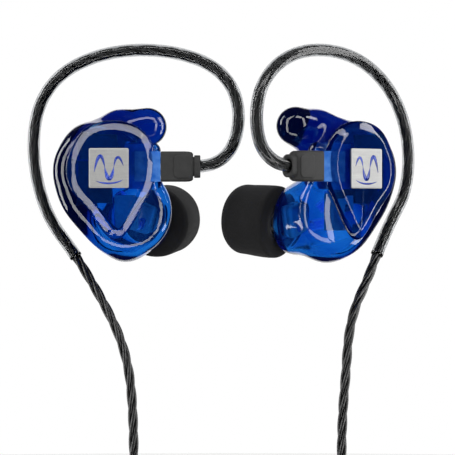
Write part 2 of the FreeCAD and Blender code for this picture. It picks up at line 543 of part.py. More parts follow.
# --- jack: strain relief, grip and three poles, hanging tip down ---------------------------------
jack_place = Placement(JACK_TOP, Rotation(FORWARD, 180))
keep("jack_relief", cone("jack_relief", "sizes.relief_end / 2", "sizes.relief_root / 2", Vector(),
                         Vector(0, 0, size("relief_long"))), jack_place)
level = size("relief_long")
grip = rod("grip_form", "sizes.grip_dia / 2", "sizes.grip_long", Vector(0, 0, level), UP)
doc.recompute()
grip_edges = [i for i, edge in enumerate(grip.Shape.Edges) if edge.Closed and len(edge.Vertexes) == 1]
grip_rounded = doc.addObject("Part::Fillet", "jack_grip")
grip_rounded.Base = grip
grip_rounded.Edges = [(i + 1, size("grip_round"), size("grip_round")) for i in grip_edges]
keep("jack_grip", grip_rounded, jack_place)
level += size("grip_long")
insulators = []
for name, length in (("jack_sleeve_pole", "sleeve_pole"), ("jack_ring_pole", "ring_pole")):
    keep(name, rod(name, "sizes.pole_dia / 2", f"sizes.{length}", Vector(), UP),
         jack_place.multiply(Placement(Vector(0, 0, level), Rotation())))
    level += size(length)
    insulators.append(rod(f"{name}_insulator", "sizes.pole_dia / 2", "sizes.pole_gap",
                          Vector(0, 0, level), UP))
    level += size("pole_gap")
keep("jack_insulators", group("jack_insulators", insulators), jack_place)
neck = Vector(0, 0, size("tip_pole") / 3)
shoulder = Vector(0, 0, size("tip_pole") / 2)
tip_forms = [cone("tip_root", "sizes.pole_dia / 2", "sizes.tip_neck / 2", Vector(), neck),
             cone("tip_swell", "sizes.tip_neck / 2", "sizes.pole_dia / 2 - 0.1", neck, shoulder),
             cone("tip_point", "sizes.pole_dia / 2 - 0.1", "sizes.tip_bulb / 2", shoulder,
                  Vector(0, 0, size("tip_pole")))]
keep("jack_tip_pole", fuse("jack_tip_pole", tip_forms),
     jack_place.multiply(Placement(Vector(0, 0, level), Rotation())))

# --- check and write every sub-part --------------------------------------------------------------
doc.recompute()
for thing in doc.Objects:
    if "Invalid" in thing.State or "Error" in thing.State:
        raise RuntimeError(f"{thing.Name} failed: {thing.State}")
os.makedirs("parts", exist_ok=True)
for name, thing in finished.items():
    shape = thing.Shape
    if shape.isNull() or not shape.isValid() or not shape.Solids:
        raise RuntimeError(f"{name} has no valid solid")
    shape.exportStep(f"parts/{name}.step")
    extent = shape.BoundBox
    print(f"{name}: {len(shape.Solids)} solid(s), {shape.Volume:.2f} mm3, "
          f"x {extent.XMin:.1f}..{extent.XMax:.1f} y {extent.YMin:.1f}..{extent.YMax:.1f} "
          f"z {extent.ZMin:.1f}..{extent.ZMax:.1f}")
print(len(finished), "sub-parts written")
print("nozzle axis", [round(value, 4) for value in NOZZLE_AXIS])
print("left nozzle axis", [round(value, 4) for value in left_ear.Rotation.multVec(
    Vector(-NOZZLE_AXIS.x, NOZZLE_AXIS.y, NOZZLE_AXIS.z))])
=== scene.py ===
# %% [markdown]
# # A pair of in ear monitors
#
# A musician's in ear monitors: two clear blue resin shells full of small drivers, each with a foam
# tip for the ear canal and a two-pin plug. A thin twisted cable leaves each plug, goes over the ear
# inside a clear sleeve, and the two leads meet in a Y-split above the main lead and its jack.
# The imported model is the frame: every piece here is drawn in its places and rides on its bodies.

# %% Load the frame
import math

import bpy
import numpy as np
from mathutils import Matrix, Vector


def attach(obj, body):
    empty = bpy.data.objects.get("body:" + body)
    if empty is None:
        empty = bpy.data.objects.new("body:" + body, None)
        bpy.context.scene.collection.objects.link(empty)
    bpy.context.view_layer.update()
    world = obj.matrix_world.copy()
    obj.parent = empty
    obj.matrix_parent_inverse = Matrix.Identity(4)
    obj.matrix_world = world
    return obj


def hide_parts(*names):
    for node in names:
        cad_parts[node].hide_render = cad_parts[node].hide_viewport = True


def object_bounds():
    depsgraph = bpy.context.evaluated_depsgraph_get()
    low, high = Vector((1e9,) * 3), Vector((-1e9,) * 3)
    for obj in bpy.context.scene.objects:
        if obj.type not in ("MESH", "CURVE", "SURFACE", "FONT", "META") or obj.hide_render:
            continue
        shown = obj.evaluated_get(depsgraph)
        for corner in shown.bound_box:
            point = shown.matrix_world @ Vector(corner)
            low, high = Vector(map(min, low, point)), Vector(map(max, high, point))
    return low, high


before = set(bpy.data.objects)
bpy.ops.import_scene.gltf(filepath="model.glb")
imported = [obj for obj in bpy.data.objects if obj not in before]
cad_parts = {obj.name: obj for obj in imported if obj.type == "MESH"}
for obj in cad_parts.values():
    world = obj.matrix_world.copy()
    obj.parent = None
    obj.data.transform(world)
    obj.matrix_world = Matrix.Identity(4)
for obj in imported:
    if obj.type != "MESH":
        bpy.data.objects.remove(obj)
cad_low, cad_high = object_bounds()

print("frame with", len(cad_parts), "nodes, from", cad_low, "to", cad_high)

# %% [markdown]
# Each monitor is drawn once, in millimetres, in its own ear frame: forward to the plug, deep into
# the head, and up, from the middle of the badge. The right one stands square to the camera. The
# left one is its mirror image, turned 37 degrees.

# %% Ear frames
SIDES = ("right", "left")
RIGHT_PLACE, LEFT_PLACE = (-5.1, -7.0, -20.4), (40.8, -7.0, -20.5)
LEFT_TURN = math.radians(37)
COS_TURN, SIN_TURN = math.cos(LEFT_TURN), math.sin(LEFT_TURN)


def ear_place(side, points):
    """Ear frame points in millimetres become points in metres in the model's frame. The right ear
    is a plain shift; the left one has its forward axis reversed and is then turned about the
    vertical."""
    forward, deep, up = np.moveaxis(np.asarray(points, float), -1, 0)
    if side == "right":
        placed = np.stack([forward, deep, up], -1) + RIGHT_PLACE
    else:
        placed = np.stack([-forward * COS_TURN - deep * SIN_TURN,
                           -forward * SIN_TURN + deep * COS_TURN, up], -1) + LEFT_PLACE
    return placed / 1000


print("badge middles:", ear_place("right", [0, 0, 0]), ear_place("left", [0, 0, 0]))

# %% [markdown]
# A mesh could be built face by face, but whole arrays are faster. Most shapes here are grids: rings
# of points joined by quads, with one point at each end for a pole where it is needed.

# %% Mesh helpers


def new_mesh(name, points, faces, material=None, flip=False, uv=None):
    """A smooth-shaded object at the origin from arrays of points and of quads or triangles."""
    mesh = bpy.data.meshes.new(name)
    faces = [np.asarray(part) for part in (faces if isinstance(faces, list) else [faces])]
    if flip:
        faces = [part[:, ::-1] for part in faces]
    sizes = np.concatenate([np.full(len(part), part.shape[1]) for part in faces])
    corners = np.concatenate([part.ravel() for part in faces])
    mesh.vertices.add(len(points))
    mesh.vertices.foreach_set("co", np.asarray(points, np.float32).ravel())
    mesh.loops.add(len(corners))
    mesh.loops.foreach_set("vertex_index", corners.astype(np.int32))
    mesh.polygons.add(len(sizes))
    mesh.polygons.foreach_set("loop_start", (np.cumsum(sizes) - sizes).astype(np.int32))
    mesh.polygons.foreach_set("use_smooth", np.ones(len(sizes), bool))
    if uv is not None:
        layer = mesh.uv_layers.new(name="UVMap")
        layer.data.foreach_set("uv", np.asarray(uv, np.float32)[corners].ravel())
    mesh.update(calc_edges=True)
    mesh.validate()
    piece = bpy.data.objects.new(name, mesh)
    bpy.context.scene.collection.objects.link(piece)
    if material is not None:
        mesh.materials.append(material)
    return piece


def ring_quads(rings, around):
    """Quads between neighbouring rings, each ring closed on itself."""
    row = np.arange(rings - 1)[:, None] * around
    here = np.arange(around)[None, :]
    after = (here + 1) % around
    return np.stack([row + here, row + after, row + around + after, row + around + here],
                    -1).reshape(-1, 4)


def capped(rings):
    """An array of rings (rings, around, 3) as points and faces, each end closed by a fan to the
    middle of its ring."""
    count, around = rings.shape[:2]
    points = np.concatenate([rings.reshape(-1, 3), rings[:1].mean(1), rings[-1:].mean(1)])
    here = np.arange(around)
    after = (here + 1) % around
    first, last = count * around, count * around + 1
    low = np.stack([np.full(around, first), after, here], -1)
    top = (count - 1) * around
    high = np.stack([np.full(around, last), top + here, top + after], -1)
    return points, [ring_quads(count, around), np.concatenate([low, high])]


def looped(rings):
    """Rings joined all round, the last one back to the first, as points and faces."""
    count, around = rings.shape[:2]
    quads = ring_quads(count + 1, around) % (count * around)
    return rings.reshape(-1, 3), quads


def merged(parts):
    """Several capped parts as one: their points in a row, and their quads and triangles with each
    point's number moved on by the points of the parts before."""
    starts = np.cumsum([0] + [len(points) for points, _ in parts])
    return (np.concatenate([points for points, _ in parts]),
            [np.concatenate([faces[kind] + start for (_, faces), start in zip(parts, starts)])
             for kind in (0, 1)])


def inside_out(points, faces):
    """True when the faces of a closed surface look inwards: its signed volume is negative."""
    total = 0.0
    for part in (faces if isinstance(faces, list) else [faces]):
        corner = points[np.asarray(part)]
        for second in range(1, corner.shape[1] - 1):
            total += np.einsum("ij,ij->", corner[:, 0],
                               np.cross(corner[:, second], corner[:, second + 1]))
    return total < 0


def solid(name, points, faces, material, uv=None):
    """A closed piece whose faces look outwards, whichever way it was drawn."""
    return new_mesh(name, points, faces, material, flip=inside_out(points, faces), uv=uv)


print("mesh helpers ready")

# %% [markdown]
# Every piece rides on a body, takes a finish, and may stand for nodes of the frame. Most
# pieces come in pairs. A Mirror modifier can't also turn the left side, so one helper places a
# form on both sides and checks each side's faces afterwards.

# %% Piece helpers


def settle(piece, body, slot, *nodes):
    """Puts a piece on a body, in the place of the nodes that it stands for. The slot is not used."""
    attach(piece, body)
    if nodes:
        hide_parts(*nodes)


def both_sides(name, form, material, body, slot, *nodes):
    """A form, as points in the ear frame and faces, made on each side and settled. A star in a
    name stands for the side."""
    made = []
    for side in SIDES:
        piece = solid(name.replace("*", side), ear_place(side, form[0]), form[1], material)
        settle(piece, body.replace("*", side), slot, *[node.replace("*", side) for node in nodes])
        made.append(piece)
    return made


print("piece helpers ready")

# %% [markdown]
# Materials are node graphs. A small class wraps one output, so that a formula on values can be
# written as ordinary Python, and one method adds any other node.

# %% Shader helper


class Graph:
    """One material's nodes. add() makes a node and gives back its first output, wrapped."""

    def __init__(self, name):
        self.material = bpy.data.materials.new(name)
        self.material.use_nodes = True
        self.tree = self.material.node_tree
        self.shader = self.tree.nodes["Principled BSDF"]
        self.output = self.tree.nodes["Material Output"]

    def add(self, kind, settings=None, out=0, **sockets):
        """Settings come first, with a ramp's stops among them, then each socket's value or link.
        A socket is called by its name, or by its number as in _0."""
        made = self.tree.nodes.new("ShaderNode" + kind)
        for key, value in (settings or {}).items():
            if key == "stops":
                while len(made.color_ramp.elements) < len(value):
                    made.color_ramp.elements.new(0.5)
                for element, (position, colour) in zip(made.color_ramp.elements, value):
                    element.position, element.color = position, (*colour, 1)
            else:
                setattr(made, key, value)
        for key, value in sockets.items():
            place = made.inputs[int(key[1:]) if key[0] == "_" else key.replace("_", " ")]
            self.feed(place, value)
        return Value(self, made.outputs[out])

    def feed(self, place, value):
        if isinstance(value, Value):
            self.tree.links.new(value.socket, place)
        else:
            place.default_value = value

    def ramp(self, factor, *stops):
        """A colour ramp through (position, colour) stops."""
        return self.add("ValToRGB", {"stops": stops}, _0=factor)

    def place(self, stretch=(1, 1, 1)):
        """Object coordinates in metres, stretched."""
        spot = self.add("TexCoord", out=3)
        return self.add("Mapping", Vector=spot, Scale=stretch)

    def noise(self, scale, detail, where=None, roughness=0.5):
        """Noise with so many blobs in each metre, and so many finer layers on them."""
        return self.add("TexNoise", Vector=where or self.place(), Scale=scale, Detail=detail,
                        Roughness=roughness)

    def bump(self, height, distance):
        """The surface leans as if the height, from 0 to 1, stood that distance proud in metres."""
        self.feed(self.shader.inputs["Normal"],
                  self.add("Bump", Height=height, Distance=distance, Strength=1.0))

    def set(self, **sockets):
        for key, value in sockets.items():
            self.feed(self.shader.inputs[key.replace("_", " ")], value)


class Value:
    """One output of a graph; arithmetic on it adds Math nodes."""

    def __init__(self, graph, socket):
        self.graph, self.socket = graph, socket

    def math(self, operation, first, second):
        return self.graph.add("Math", {"operation": operation}, _0=first, _1=second)

    def __add__(self, other):
        return self.math("ADD", self, other)

    def __mul__(self, other):
        return self.math("MULTIPLY", self, other)

    __radd__, __rmul__ = __add__, __mul__


def finish(name, dark, light, rough, grain, depth, metal=0.0, spread=0.1, **constants):
    """A mottled finish: two close tones mixed by noise of a grain size in metres, a roughness that
    wanders by a spread, and a bump of that grain and a depth in metres."""
    graph = Graph(name)
    spot = graph.noise(1 / grain, 4.0)
    broad = graph.noise(0.12 / grain, 2.0)
    graph.set(Base_Color=graph.ramp(spot * 0.6 + broad * 0.4, (0.3, dark), (0.7, light)),
              Roughness=broad * (2 * spread) + (rough - spread), Metallic=metal, **constants)
    graph.bump(spot, depth)
    return graph.material


print("shader helper ready")

# %% [markdown]
# The camera stands level, straight in front of the faceplates, far enough away for a nearly flat
# perspective. It comes first with the cords, because the cords have to fit what it sees.

# %% Camera
VIEW_MIDDLE = (0.01606, -0.006, -0.031)
VIEW_WIDE, VIEW_BACK = 0.08125, 0.45
camera_data = bpy.data.cameras.new("camera")
camera_data.sensor_width = 36.0
camera_data.lens = 36.0 * VIEW_BACK / VIEW_WIDE
camera = bpy.data.objects.new("camera", camera_data)
camera.location = (VIEW_MIDDLE[0], VIEW_MIDDLE[1] - VIEW_BACK, VIEW_MIDDLE[2])
camera.rotation_euler = (math.pi / 2, 0, 0)
bpy.context.scene.collection.objects.link(camera)
bpy.context.scene.camera = camera
print("camera lens", round(camera_data.lens, 1), "mm")

# %% [markdown]
# Clear resin shows what is around it. The studio is white, so the resin is bright where it is thin,
# but its surface mirrors a dark dome that is open only behind the monitors. Strip lights inside the
# dome draw the long pale bands along the rounded edges. One soft key light shades the matt pieces.
# One lamp could do both, but then the matt pieces would be too bright, so the strips show only in
# reflections and the key only lights.

# %% Studio
world = bpy.data.worlds.new("studio")
world.use_nodes = True
world.node_tree.nodes["Background"].inputs["Color"].default_value = (1, 1, 1, 1)
world.node_tree.nodes["Background"].inputs["Strength"].default_value = 1.0
bpy.context.scene.world = world
bpy.context.scene.view_settings.view_transform = "Standard"


def softbox(name, spot, wide, high, radiance, mirrored):
    """An area light of a size in metres that faces the monitors. Its power is its radiance times
    its area and pi. A mirrored one is seen only in reflections; another one only lights."""
    lamp = bpy.data.lights.new(name, "AREA")
    lamp.shape, lamp.size, lamp.size_y = "RECTANGLE", wide, high
    lamp.energy = radiance * wide * high * math.pi
    thing = bpy.data.objects.new(name, lamp)
    thing.location = spot
    toward = np.subtract(VIEW_MIDDLE, spot)
    flat = math.hypot(toward[0], toward[1])
    thing.rotation_euler = (math.atan2(flat, -toward[2]), 0, math.atan2(-toward[0], toward[1]))
    thing.visible_diffuse, thing.visible_glossy = not mirrored, mirrored
    thing.visible_transmission = False
    bpy.context.scene.collection.objects.link(thing)


softbox("strip_left", (-0.50, -0.36, 0.02), 0.16, 1.05, 5.6, True)
softbox("strip_right", (0.53, -0.36, 0.02), 0.16, 1.05, 6.2, True)
softbox("strip_top", (0.02, -0.36, 0.50), 0.92, 0.16, 5.5, True)
softbox("strip_low", (0.02, -0.36, -0.50), 0.92, 0.14, 5.0, True)
softbox("rim_left", (-0.60, 0.12, 0.05), 0.24, 0.95, 6.0, True)
softbox("rim_right", (0.64, 0.12, 0.05), 0.24, 0.95, 6.0, True)
softbox("key", (0.22, -0.62, 0.42), 0.35, 0.35, 13.0, False)

FLOOR_LEVEL, FLOOR_RADIUS, FLOOR_AROUND = cad_low[2] - 0.016, 1.5, 96
turn = np.linspace(0, 2 * math.pi, FLOOR_AROUND, endpoint=False)
disc = np.stack([np.cos(turn), np.sin(turn), np.zeros(FLOOR_AROUND)], -1)
paper = finish("paper", [0.84] * 3, [0.9] * 3, 0.8, 0.002, 0.00002)
floor_rings = np.stack([disc * 0.01, disc * FLOOR_RADIUS]) + (VIEW_MIDDLE[0], 0.1, FLOOR_LEVEL)
floor_points, (floor_quads, floor_fans) = capped(floor_rings)
floor = new_mesh("floor", floor_points, [floor_quads, floor_fans[:FLOOR_AROUND]], paper)
floor.visible_glossy = False

velvet = finish("velvet", (0.004, 0.004, 0.006), (0.008, 0.008, 0.012), 0.9, 0.002, 0.00002)
DOME_RADIUS, DOME_OPEN, DOME_RINGS, DOME_AROUND = 1.1, 148, 30, 48
polar = np.radians(np.linspace(1, DOME_OPEN, DOME_RINGS))[:, None, None]
about = np.radians(np.linspace(0, 360, DOME_AROUND, endpoint=False))[None, :, None]
dome_rings = VIEW_MIDDLE + DOME_RADIUS * np.concatenate(
    [np.sin(polar) * np.cos(about), -np.cos(polar) * np.ones_like(about), np.sin(polar) * np.sin(about)], -1)
dome = new_mesh("dome", dome_rings.reshape(-1, 3), ring_quads(DOME_RINGS, DOME_AROUND), velvet)
dome.visible_camera = dome.visible_diffuse = dome.visible_transmission = dome.visible_shadow = False
print("studio ready, floor at", round(FLOOR_LEVEL, 3))

# %% [markdown]
# ## Cable routes
#
# Each lead leaves its plug, turns up and over the ear, and hangs in front of the body. The length
# that isn't needed for the look is wound into a neat tied coil above the Y-split, and the main
# lead has a larger coil above its jack. A NURBS spline through few control points bends like the
# real cable, where straight runs with rounded corners would look like bent wire. The strands and
# the sleeve follow points read from that spline.

# %% Route points, in millimetres
RIGHT_LEAD = [(10.2, -4.9, -20.1), (12.4, -4.9, -20.0), (14.9, -4.9, -19.0), (16.7, -4.7, -17.1),
              (17.8, -4.4, -14.3), (18.2, -4.0, -10.1), (17.0, -3.4, -5.6), (13.5, -2.6, -1.8),
              (7.5, -1.5, 0.5), (0.0, 0.3, 1.35), (-7.7, 2.4, 0.4), (-14.5, 4.2, -2.8),
              (-18.5, 5.7, -8.2), (-19.7, 6.6, -15.0), (-19.1, 7.1, -22.2), (-16.7, 7.3, -29.6),
              (-12.3, 7.0, -35.4), (-8.9, 5.8, -40.8), (-5.7, 4.0, -46.3), (-3.2, 2.5, -51.6),
              (-1.7, 1.5, -57.4), (-1.1, 1.0, -64.2), (-0.9, 0.9, -71.9), (-1.1, 1.0, -79.2)]
LEFT_LEAD = [(27.4, -14.6, -20.2), (25.6, -15.9, -20.1), (23.7, -17.3, -19.2), (22.1, -18.4, -17.4),
             (21.2, -18.8, -14.6), (21.0, -18.3, -10.5), (22.1, -16.6, -5.7), (25.4, -13.0, -1.5),
             (30.2, -8.0, 0.7), (36.2, -1.8, 0.8), (41.4, 3.6, -1.1), (45.8, 8.3, -5.1),
             (48.8, 11.4, -10.9), (49.9, 12.6, -17.9), (49.1, 12.2, -24.7), (46.4, 10.0, -29.5),
             (44.0, 7.9, -34.7), (41.8, 5.9, -40.4), (39.3, 3.6, -45.4), (38.0, 2.3, -50.9),
             (37.6, 1.7, -57.1), (37.0, 1.1, -63.5), (36.7, 0.9, -71.3), (36.9, 1.0, -78.9)]
RIGHT_TAIL = [(-0.9, 6.5, -93.0), (2.4, 6.2, -98.8), (8.2, 5.6, -101.4), (13.2, 4.8, -104.8),
              (16.4, 4.3, -110.4), (16.9, 4.0, -116.9)]
LEFT_TAIL = [(36.7, 6.5, -92.6), (33.0, 6.0, -98.0), (27.2, 5.4, -101.0), (22.5, 4.7, -104.9),
             (19.4, 4.3, -110.6), (18.9, 4.0, -116.9)]
MAIN_LEAD = [(17.9, 4.0, -130.1), (17.8, 4.1, -134.8), (17.9, 4.0, -139.8)]
MAIN_TAIL = [(20.1, 6.3, -152.0), (20.2, 6.0, -158.9)]
PER_TURN = 14


def coil_turns(middle, radius, first_depth, last_depth, turns, start, way):
    """Control points of a coil about the depth axis: the angle runs evenly from start by way times
    the turns while the depth goes from first to last."""
    points = []
    for step in range(int(turns * PER_TURN) + 1):
        share = step / (turns * PER_TURN)
        angle = start + way * 2 * math.pi * turns * share
        points.append((middle[0] + radius * math.cos(angle),
                       first_depth + (last_depth - first_depth) * share,
                       middle[1] + radius * math.sin(angle)))
    return points


def route_line(points):
    """The smooth line of a NURBS spline with these control points in millimetres, read back as
    fine points in metres."""
    curve = bpy.data.curves.new("route", "CURVE")
    curve.dimensions = "3D"
    spline = curve.splines.new("NURBS")
    spline.points.add(len(points) - 1)
    control = np.column_stack([np.asarray(points) / 1000, np.ones(len(points))])
    spline.points.foreach_set("co", control.ravel())
    spline.order_u, spline.use_endpoint_u, spline.resolution_u = 3, True, 12
    holder = bpy.data.objects.new("route", curve)
    bpy.context.scene.collection.objects.link(holder)
    bpy.context.view_layer.update()
    line = bpy.data.meshes.new_from_object(holder)
    read = np.zeros(len(line.vertices) * 3)
    line.vertices.foreach_get("co", read)
    bpy.data.objects.remove(holder)
    return read.reshape(-1, 3)


def even(line, step):
    """The same line with points an even step apart, and the running length at each point."""
    run = np.concatenate([[0], np.cumsum(np.linalg.norm(np.diff(line, axis=0), axis=1))])
    marks = np.linspace(0, run[-1], int(round(run[-1] / step)) + 1)
    return np.stack([np.interp(marks, run, line[:, axis]) for axis in range(3)], -1), marks


RIGHT_COIL, LEFT_COIL, MAIN_COIL = (-10.8, -86.0), (46.6, -86.0), (6.4, -144.6)
LEAD_COIL, MAIN_COIL_IN, MAIN_COIL_OUT = 9.95, 11.6, 13.8
right_points = RIGHT_LEAD + coil_turns(RIGHT_COIL, LEAD_COIL, 0.9, 6.6, 3, 0.0, -1) + RIGHT_TAIL
left_points = LEFT_LEAD + coil_turns(LEFT_COIL, LEAD_COIL, 0.9, 6.6, 3, math.pi, 1) + LEFT_TAIL
main_points = (MAIN_LEAD + coil_turns(MAIN_COIL, MAIN_COIL_IN, 4.0, 18.4, 6, 0.0, -1)
               + coil_turns(MAIN_COIL, MAIN_COIL_OUT, 18.4, 6.4, 5, 0.0, -1)[2:] + MAIN_TAIL)
lines = {"right_lead": route_line(right_points), "left_lead": route_line(left_points),
         "main_lead": route_line(main_points)}

# %% [markdown]
# The cable is four thin jacketed conductors twisted together. A round tube with a bump could stand
# for them, but its outline would be smooth. So each strand is a small ring carried along a helix
# round the route. The ring's two directions come from the route's tangent and the depth axis,
# which the route never runs along. The jacket's streaks follow the strands by their UV map.

# %% Cable finish
jacket = Graph("black_jacket")
along = jacket.add("UVMap", {"uv_map": "UVMap"})
streak = jacket.noise(1.0, 3.0, jacket.add("Mapping", Vector=along, Scale=(160, 9, 1)))
dust = jacket.noise(2600, 2.0)
jacket.set(Base_Color=jacket.ramp(streak, (0.35, [0.001] * 3), (0.7, [0.004] * 3)),
           Roughness=streak * 0.22 + dust * 0.10 + 0.16, Coat_Weight=0.2, Coat_Roughness=0.15)
jacket.bump(streak, 0.00004)

clear_sleeve = Graph("clear_sleeve")
haze = clear_sleeve.noise(900, 3.0)
clear_sleeve.set(Base_Color=clear_sleeve.ramp(haze, (0.3, (0.50, 0.51, 0.52)),
                                              (0.7, (0.70, 0.71, 0.72))),
                 Roughness=haze * 0.08 + 0.03, Transmission_Weight=1.0, IOR=1.33)
clear_sleeve.bump(haze, 0.00002)
print("cable finishes ready")

# %% Strands and sleeves
STRANDS, STRAND_SIDES, SLEEVE_SIDES, SLEEVE_STEP = 4, 8, 20, 0.0006


def ring_turn(sides):
    """The directions round a ring, shaped to be carried along a line."""
    return np.linspace(0, 2 * math.pi, sides, endpoint=False)[None, :, None]


def line_frames(line):
    """At each point of a line, two directions across it: the depth axis less its share along the
    tangent, and the cross product of the tangent and that."""
    tangent = np.gradient(line, axis=0)
    tangent /= np.linalg.norm(tangent, axis=1, keepdims=True)
    across = np.array([0.0, 1.0, 0.0]) - tangent * tangent[:, 1:2]
    across /= np.linalg.norm(across, axis=1, keepdims=True)
    return across, np.cross(tangent, across)


def helix_tube(line, marks, offset, radius, pitch, phase):
    """Rings of a strand: a circle of a radius carried along a helix that turns once per pitch
    round the line at an offset, with its phase."""
    across, other = line_frames(line)
    angle = (2 * math.pi * marks / pitch + phase)[:, None]
    centre = line + offset * (across * np.cos(angle) + other * np.sin(angle))
    across, other = line_frames(centre)
    spin = ring_turn(STRAND_SIDES)
    return centre[:, None] + radius * (across[:, None] * np.cos(spin) + other[:, None] * np.sin(spin))


def strands(name, line, diameter, pitch, step):
    """All strands of one cable as one mesh, with the running length and the turn as its UV map. The
    strands just touch inside the diameter: a strand's radius is half the diameter divided by the
    sum of one and one over the sine of half the angle between two strands."""
    path, marks = even(line, step)
    radius = diameter / 2 / (1 + 1 / math.sin(math.pi / STRANDS))
    turn_share = np.tile(np.linspace(0, 1, STRAND_SIDES), len(marks))
    parts, maps = [], []
    for strand in range(STRANDS):
        parts.append(capped(helix_tube(path, marks, diameter / 2 - radius, radius, pitch,
                                       2 * math.pi * strand / STRANDS)))
        maps += [np.column_stack([np.repeat(marks * 10, STRAND_SIDES), turn_share + strand]),
                 np.zeros((2, 2))]
    points, faces = merged(parts)
    return solid(name, points, faces, jacket.material, np.concatenate(maps)), path


def sleeve(name, line, length, outside, inside):
    """A tube with a wall along the first part of a line: its outer rings, then its inner rings
    back, joined at both ends."""
    path, marks = even(line, SLEEVE_STEP)
    path = path[marks <= length]
    across, other = line_frames(path)
    spin = ring_turn(SLEEVE_SIDES)
    ring = across[:, None] * np.cos(spin) + other[:, None] * np.sin(spin)
    wall = np.concatenate([path[:, None] + ring * outside / 2,
                           (path[:, None] + ring * inside / 2)[::-1]])
    points, faces = looped(wall)
    return solid(name, points, faces, clear_sleeve.material)


LEAD_ACROSS, MAIN_ACROSS, SLEEVE_ACROSS, SLEEVE_BORE = 0.0018, 0.0023, 0.0023, 0.00194
cords, paths = {}, {}
for name, across_all, pitch, step, coil in (
        ("right_lead", LEAD_ACROSS, 0.0165, 0.0006, "right_lead_coil"),
        ("left_lead", LEAD_ACROSS, 0.0165, 0.0006, "left_lead_coil"),
        ("main_lead", MAIN_ACROSS, 0.018, 0.0009, "main_coil")):
    cords[name], paths[name] = strands(name + "_strands", lines[name], across_all, pitch, step)
    settle(cords[name], "cable", "black_cable", name, coil, name + "_tail")
for side, sleeve_long in (("right", 0.0915), ("left", 0.0918)):
    tube = sleeve(side + "_clear_sleeve", lines[side + "_lead"], sleeve_long, SLEEVE_ACROSS,
                  SLEEVE_BORE)
    settle(tube, "cable", "clear_sleeve", side + "_ear_sleeve")
print("strands:", {name: len(cord.data.polygons) for name, cord in cords.items()}, "faces")

# %% [markdown]
# ## Resin
#
# The shells are cast in clear blue resin. Its colour is in its depth: thin edges let nearly all of
# the light through and look pale blue, and thick parts turn navy. A blue surface would be the same
# blue all over. So the surface is a clear gloss with only a slight tint, and the colour comes from
# absorption inside, and a faint painted glow adds a little deep blue light.

# %% Resin finish


def resin(name, tint, absorb, density, painted_glow):
    """Clear resin of a surface tint. Inside, light fades as e to the power of minus its path in
    metres times the density times one less the absorb colour, for each channel on its own. The
    painted glow is a faint emission: painted light that brightens the resin as if lit from
    within, though it is no lamp."""
    graph = Graph(name)
    smear = graph.noise(260, 2.0)
    fine = graph.noise(1500, 2.0)
    # The emission is a painted glow: painted light in the resin, which is no lamp.
    graph.set(Base_Color=graph.ramp(smear, (0.3, tint), (0.7, [channel * 0.97 for channel in tint])),
              Roughness=smear * 0.025 + 0.005, Transmission_Weight=1.0, IOR=1.5,
              Emission_Color=(*painted_glow, 1), Emission_Strength=1.0)
    graph.bump(fine, 0.000004)
    graph.feed(graph.output.inputs["Volume"],
               graph.add("VolumeAbsorption", Color=(*absorb, 1), Density=density))
    return graph.material


# The blue resin carries a faint painted glow of deep blue, painted light.
blue_resin = resin("blue_resin", tint=(0.52, 0.76, 1.0), absorb=(0.0, 0.60, 0.845), density=1500.0,
                   painted_glow=(0.0, 0.0010, 0.014))
socket_clear = Graph("socket_plastic")
swirl = socket_clear.noise(420, 3.0)
socket_clear.set(Base_Color=socket_clear.ramp(swirl, (0.3, (0.02, 0.14, 0.60)),
                                              (0.7, (0.14, 0.38, 0.92))),
                 Roughness=swirl * 0.1 + 0.04, Transmission_Weight=0.55, IOR=1.5)
socket_clear.bump(swirl, 0.00002)
print("resin finishes ready")

# %% [markdown]
# The shell is a soft sculpted form: a rounded body, a lobe that locks under the ear's upper fold,
# a canal that carries the nozzle and a boss for the socket, all flowing into each other. Such a
# form has no simple grid, so it is described as a field: a number at each point that is negative
# inside. Fields of simple forms blend with a smooth minimum. The surface where the field is zero
# is then found on a fine lattice, and its points are pulled exactly onto it.

# %% Fields


def dot(first, second):
    return np.einsum("...i,...i->...", first, second)


def round_cone(points, start, end, start_radius, end_radius):
    """Distance to the hull of two balls of different radius: to the nearer ball past the ends of
    the tangent cone, and to the cone's side between them."""
    start, end = np.array(start, float), np.array(end, float)
    axis, step = end - start, start_radius - end_radius
    long2 = axis @ axis
    cone2 = long2 - step ** 2
    from_start = points - start
    along = dot(from_start, axis)
    beyond = along - long2
    side2 = dot(d := from_start * long2 - axis * along[..., None], d)
    along2, beyond2 = along ** 2 * long2, beyond ** 2 * long2
    lean = np.sign(step) * step ** 2 * side2
    side = (np.sqrt(side2 * cone2 / long2) + along * step) / long2 - start_radius
    near_start = np.sqrt(side2 + along2) / long2 - start_radius
    near_end = np.sqrt(side2 + beyond2) / long2 - end_radius
    return np.where(np.sign(beyond) * cone2 * beyond2 > lean, near_end,
                    np.where(np.sign(along) * cone2 * along2 < lean, near_start, side))


def round_box(points, low, high, radius):
    """Distance to a box with rounded edges, as the distance to a smaller box less the radius."""
    low, high = np.array(low, float), np.array(high, float)
    reach = np.abs(points - (low + high) / 2) - (high - low) / 2 + radius
    return (np.linalg.norm(np.maximum(reach, 0), axis=-1)
            + np.minimum(reach.max(-1), 0) - radius)


def soft_min(first, second, blend):
    """The smaller of two fields, rounded where they are nearly equal by up to the blend."""
    mix = np.maximum(blend - np.abs(first - second), 0) / blend
    return np.minimum(first, second) - mix ** 2 * blend / 4


def soft_max(first, second, blend):
    return -soft_min(-first, -second, blend)


def flattened(points, depth, factor):
    """The same points with their distance from a depth grown, which flattens a form there."""
    grown = points.copy()
    grown[..., 1] = depth + (points[..., 1] - depth) * factor
    return grown


NOZZLE_AXIS = np.array([0.32432927, 0.94192059, 0.08715574])
TIP_BACK = np.array([7.6, 15.3, -9.6])
CANAL_END = TIP_BACK - NOZZLE_AXIS * 0.6
SHELL_FRONT = 1.6


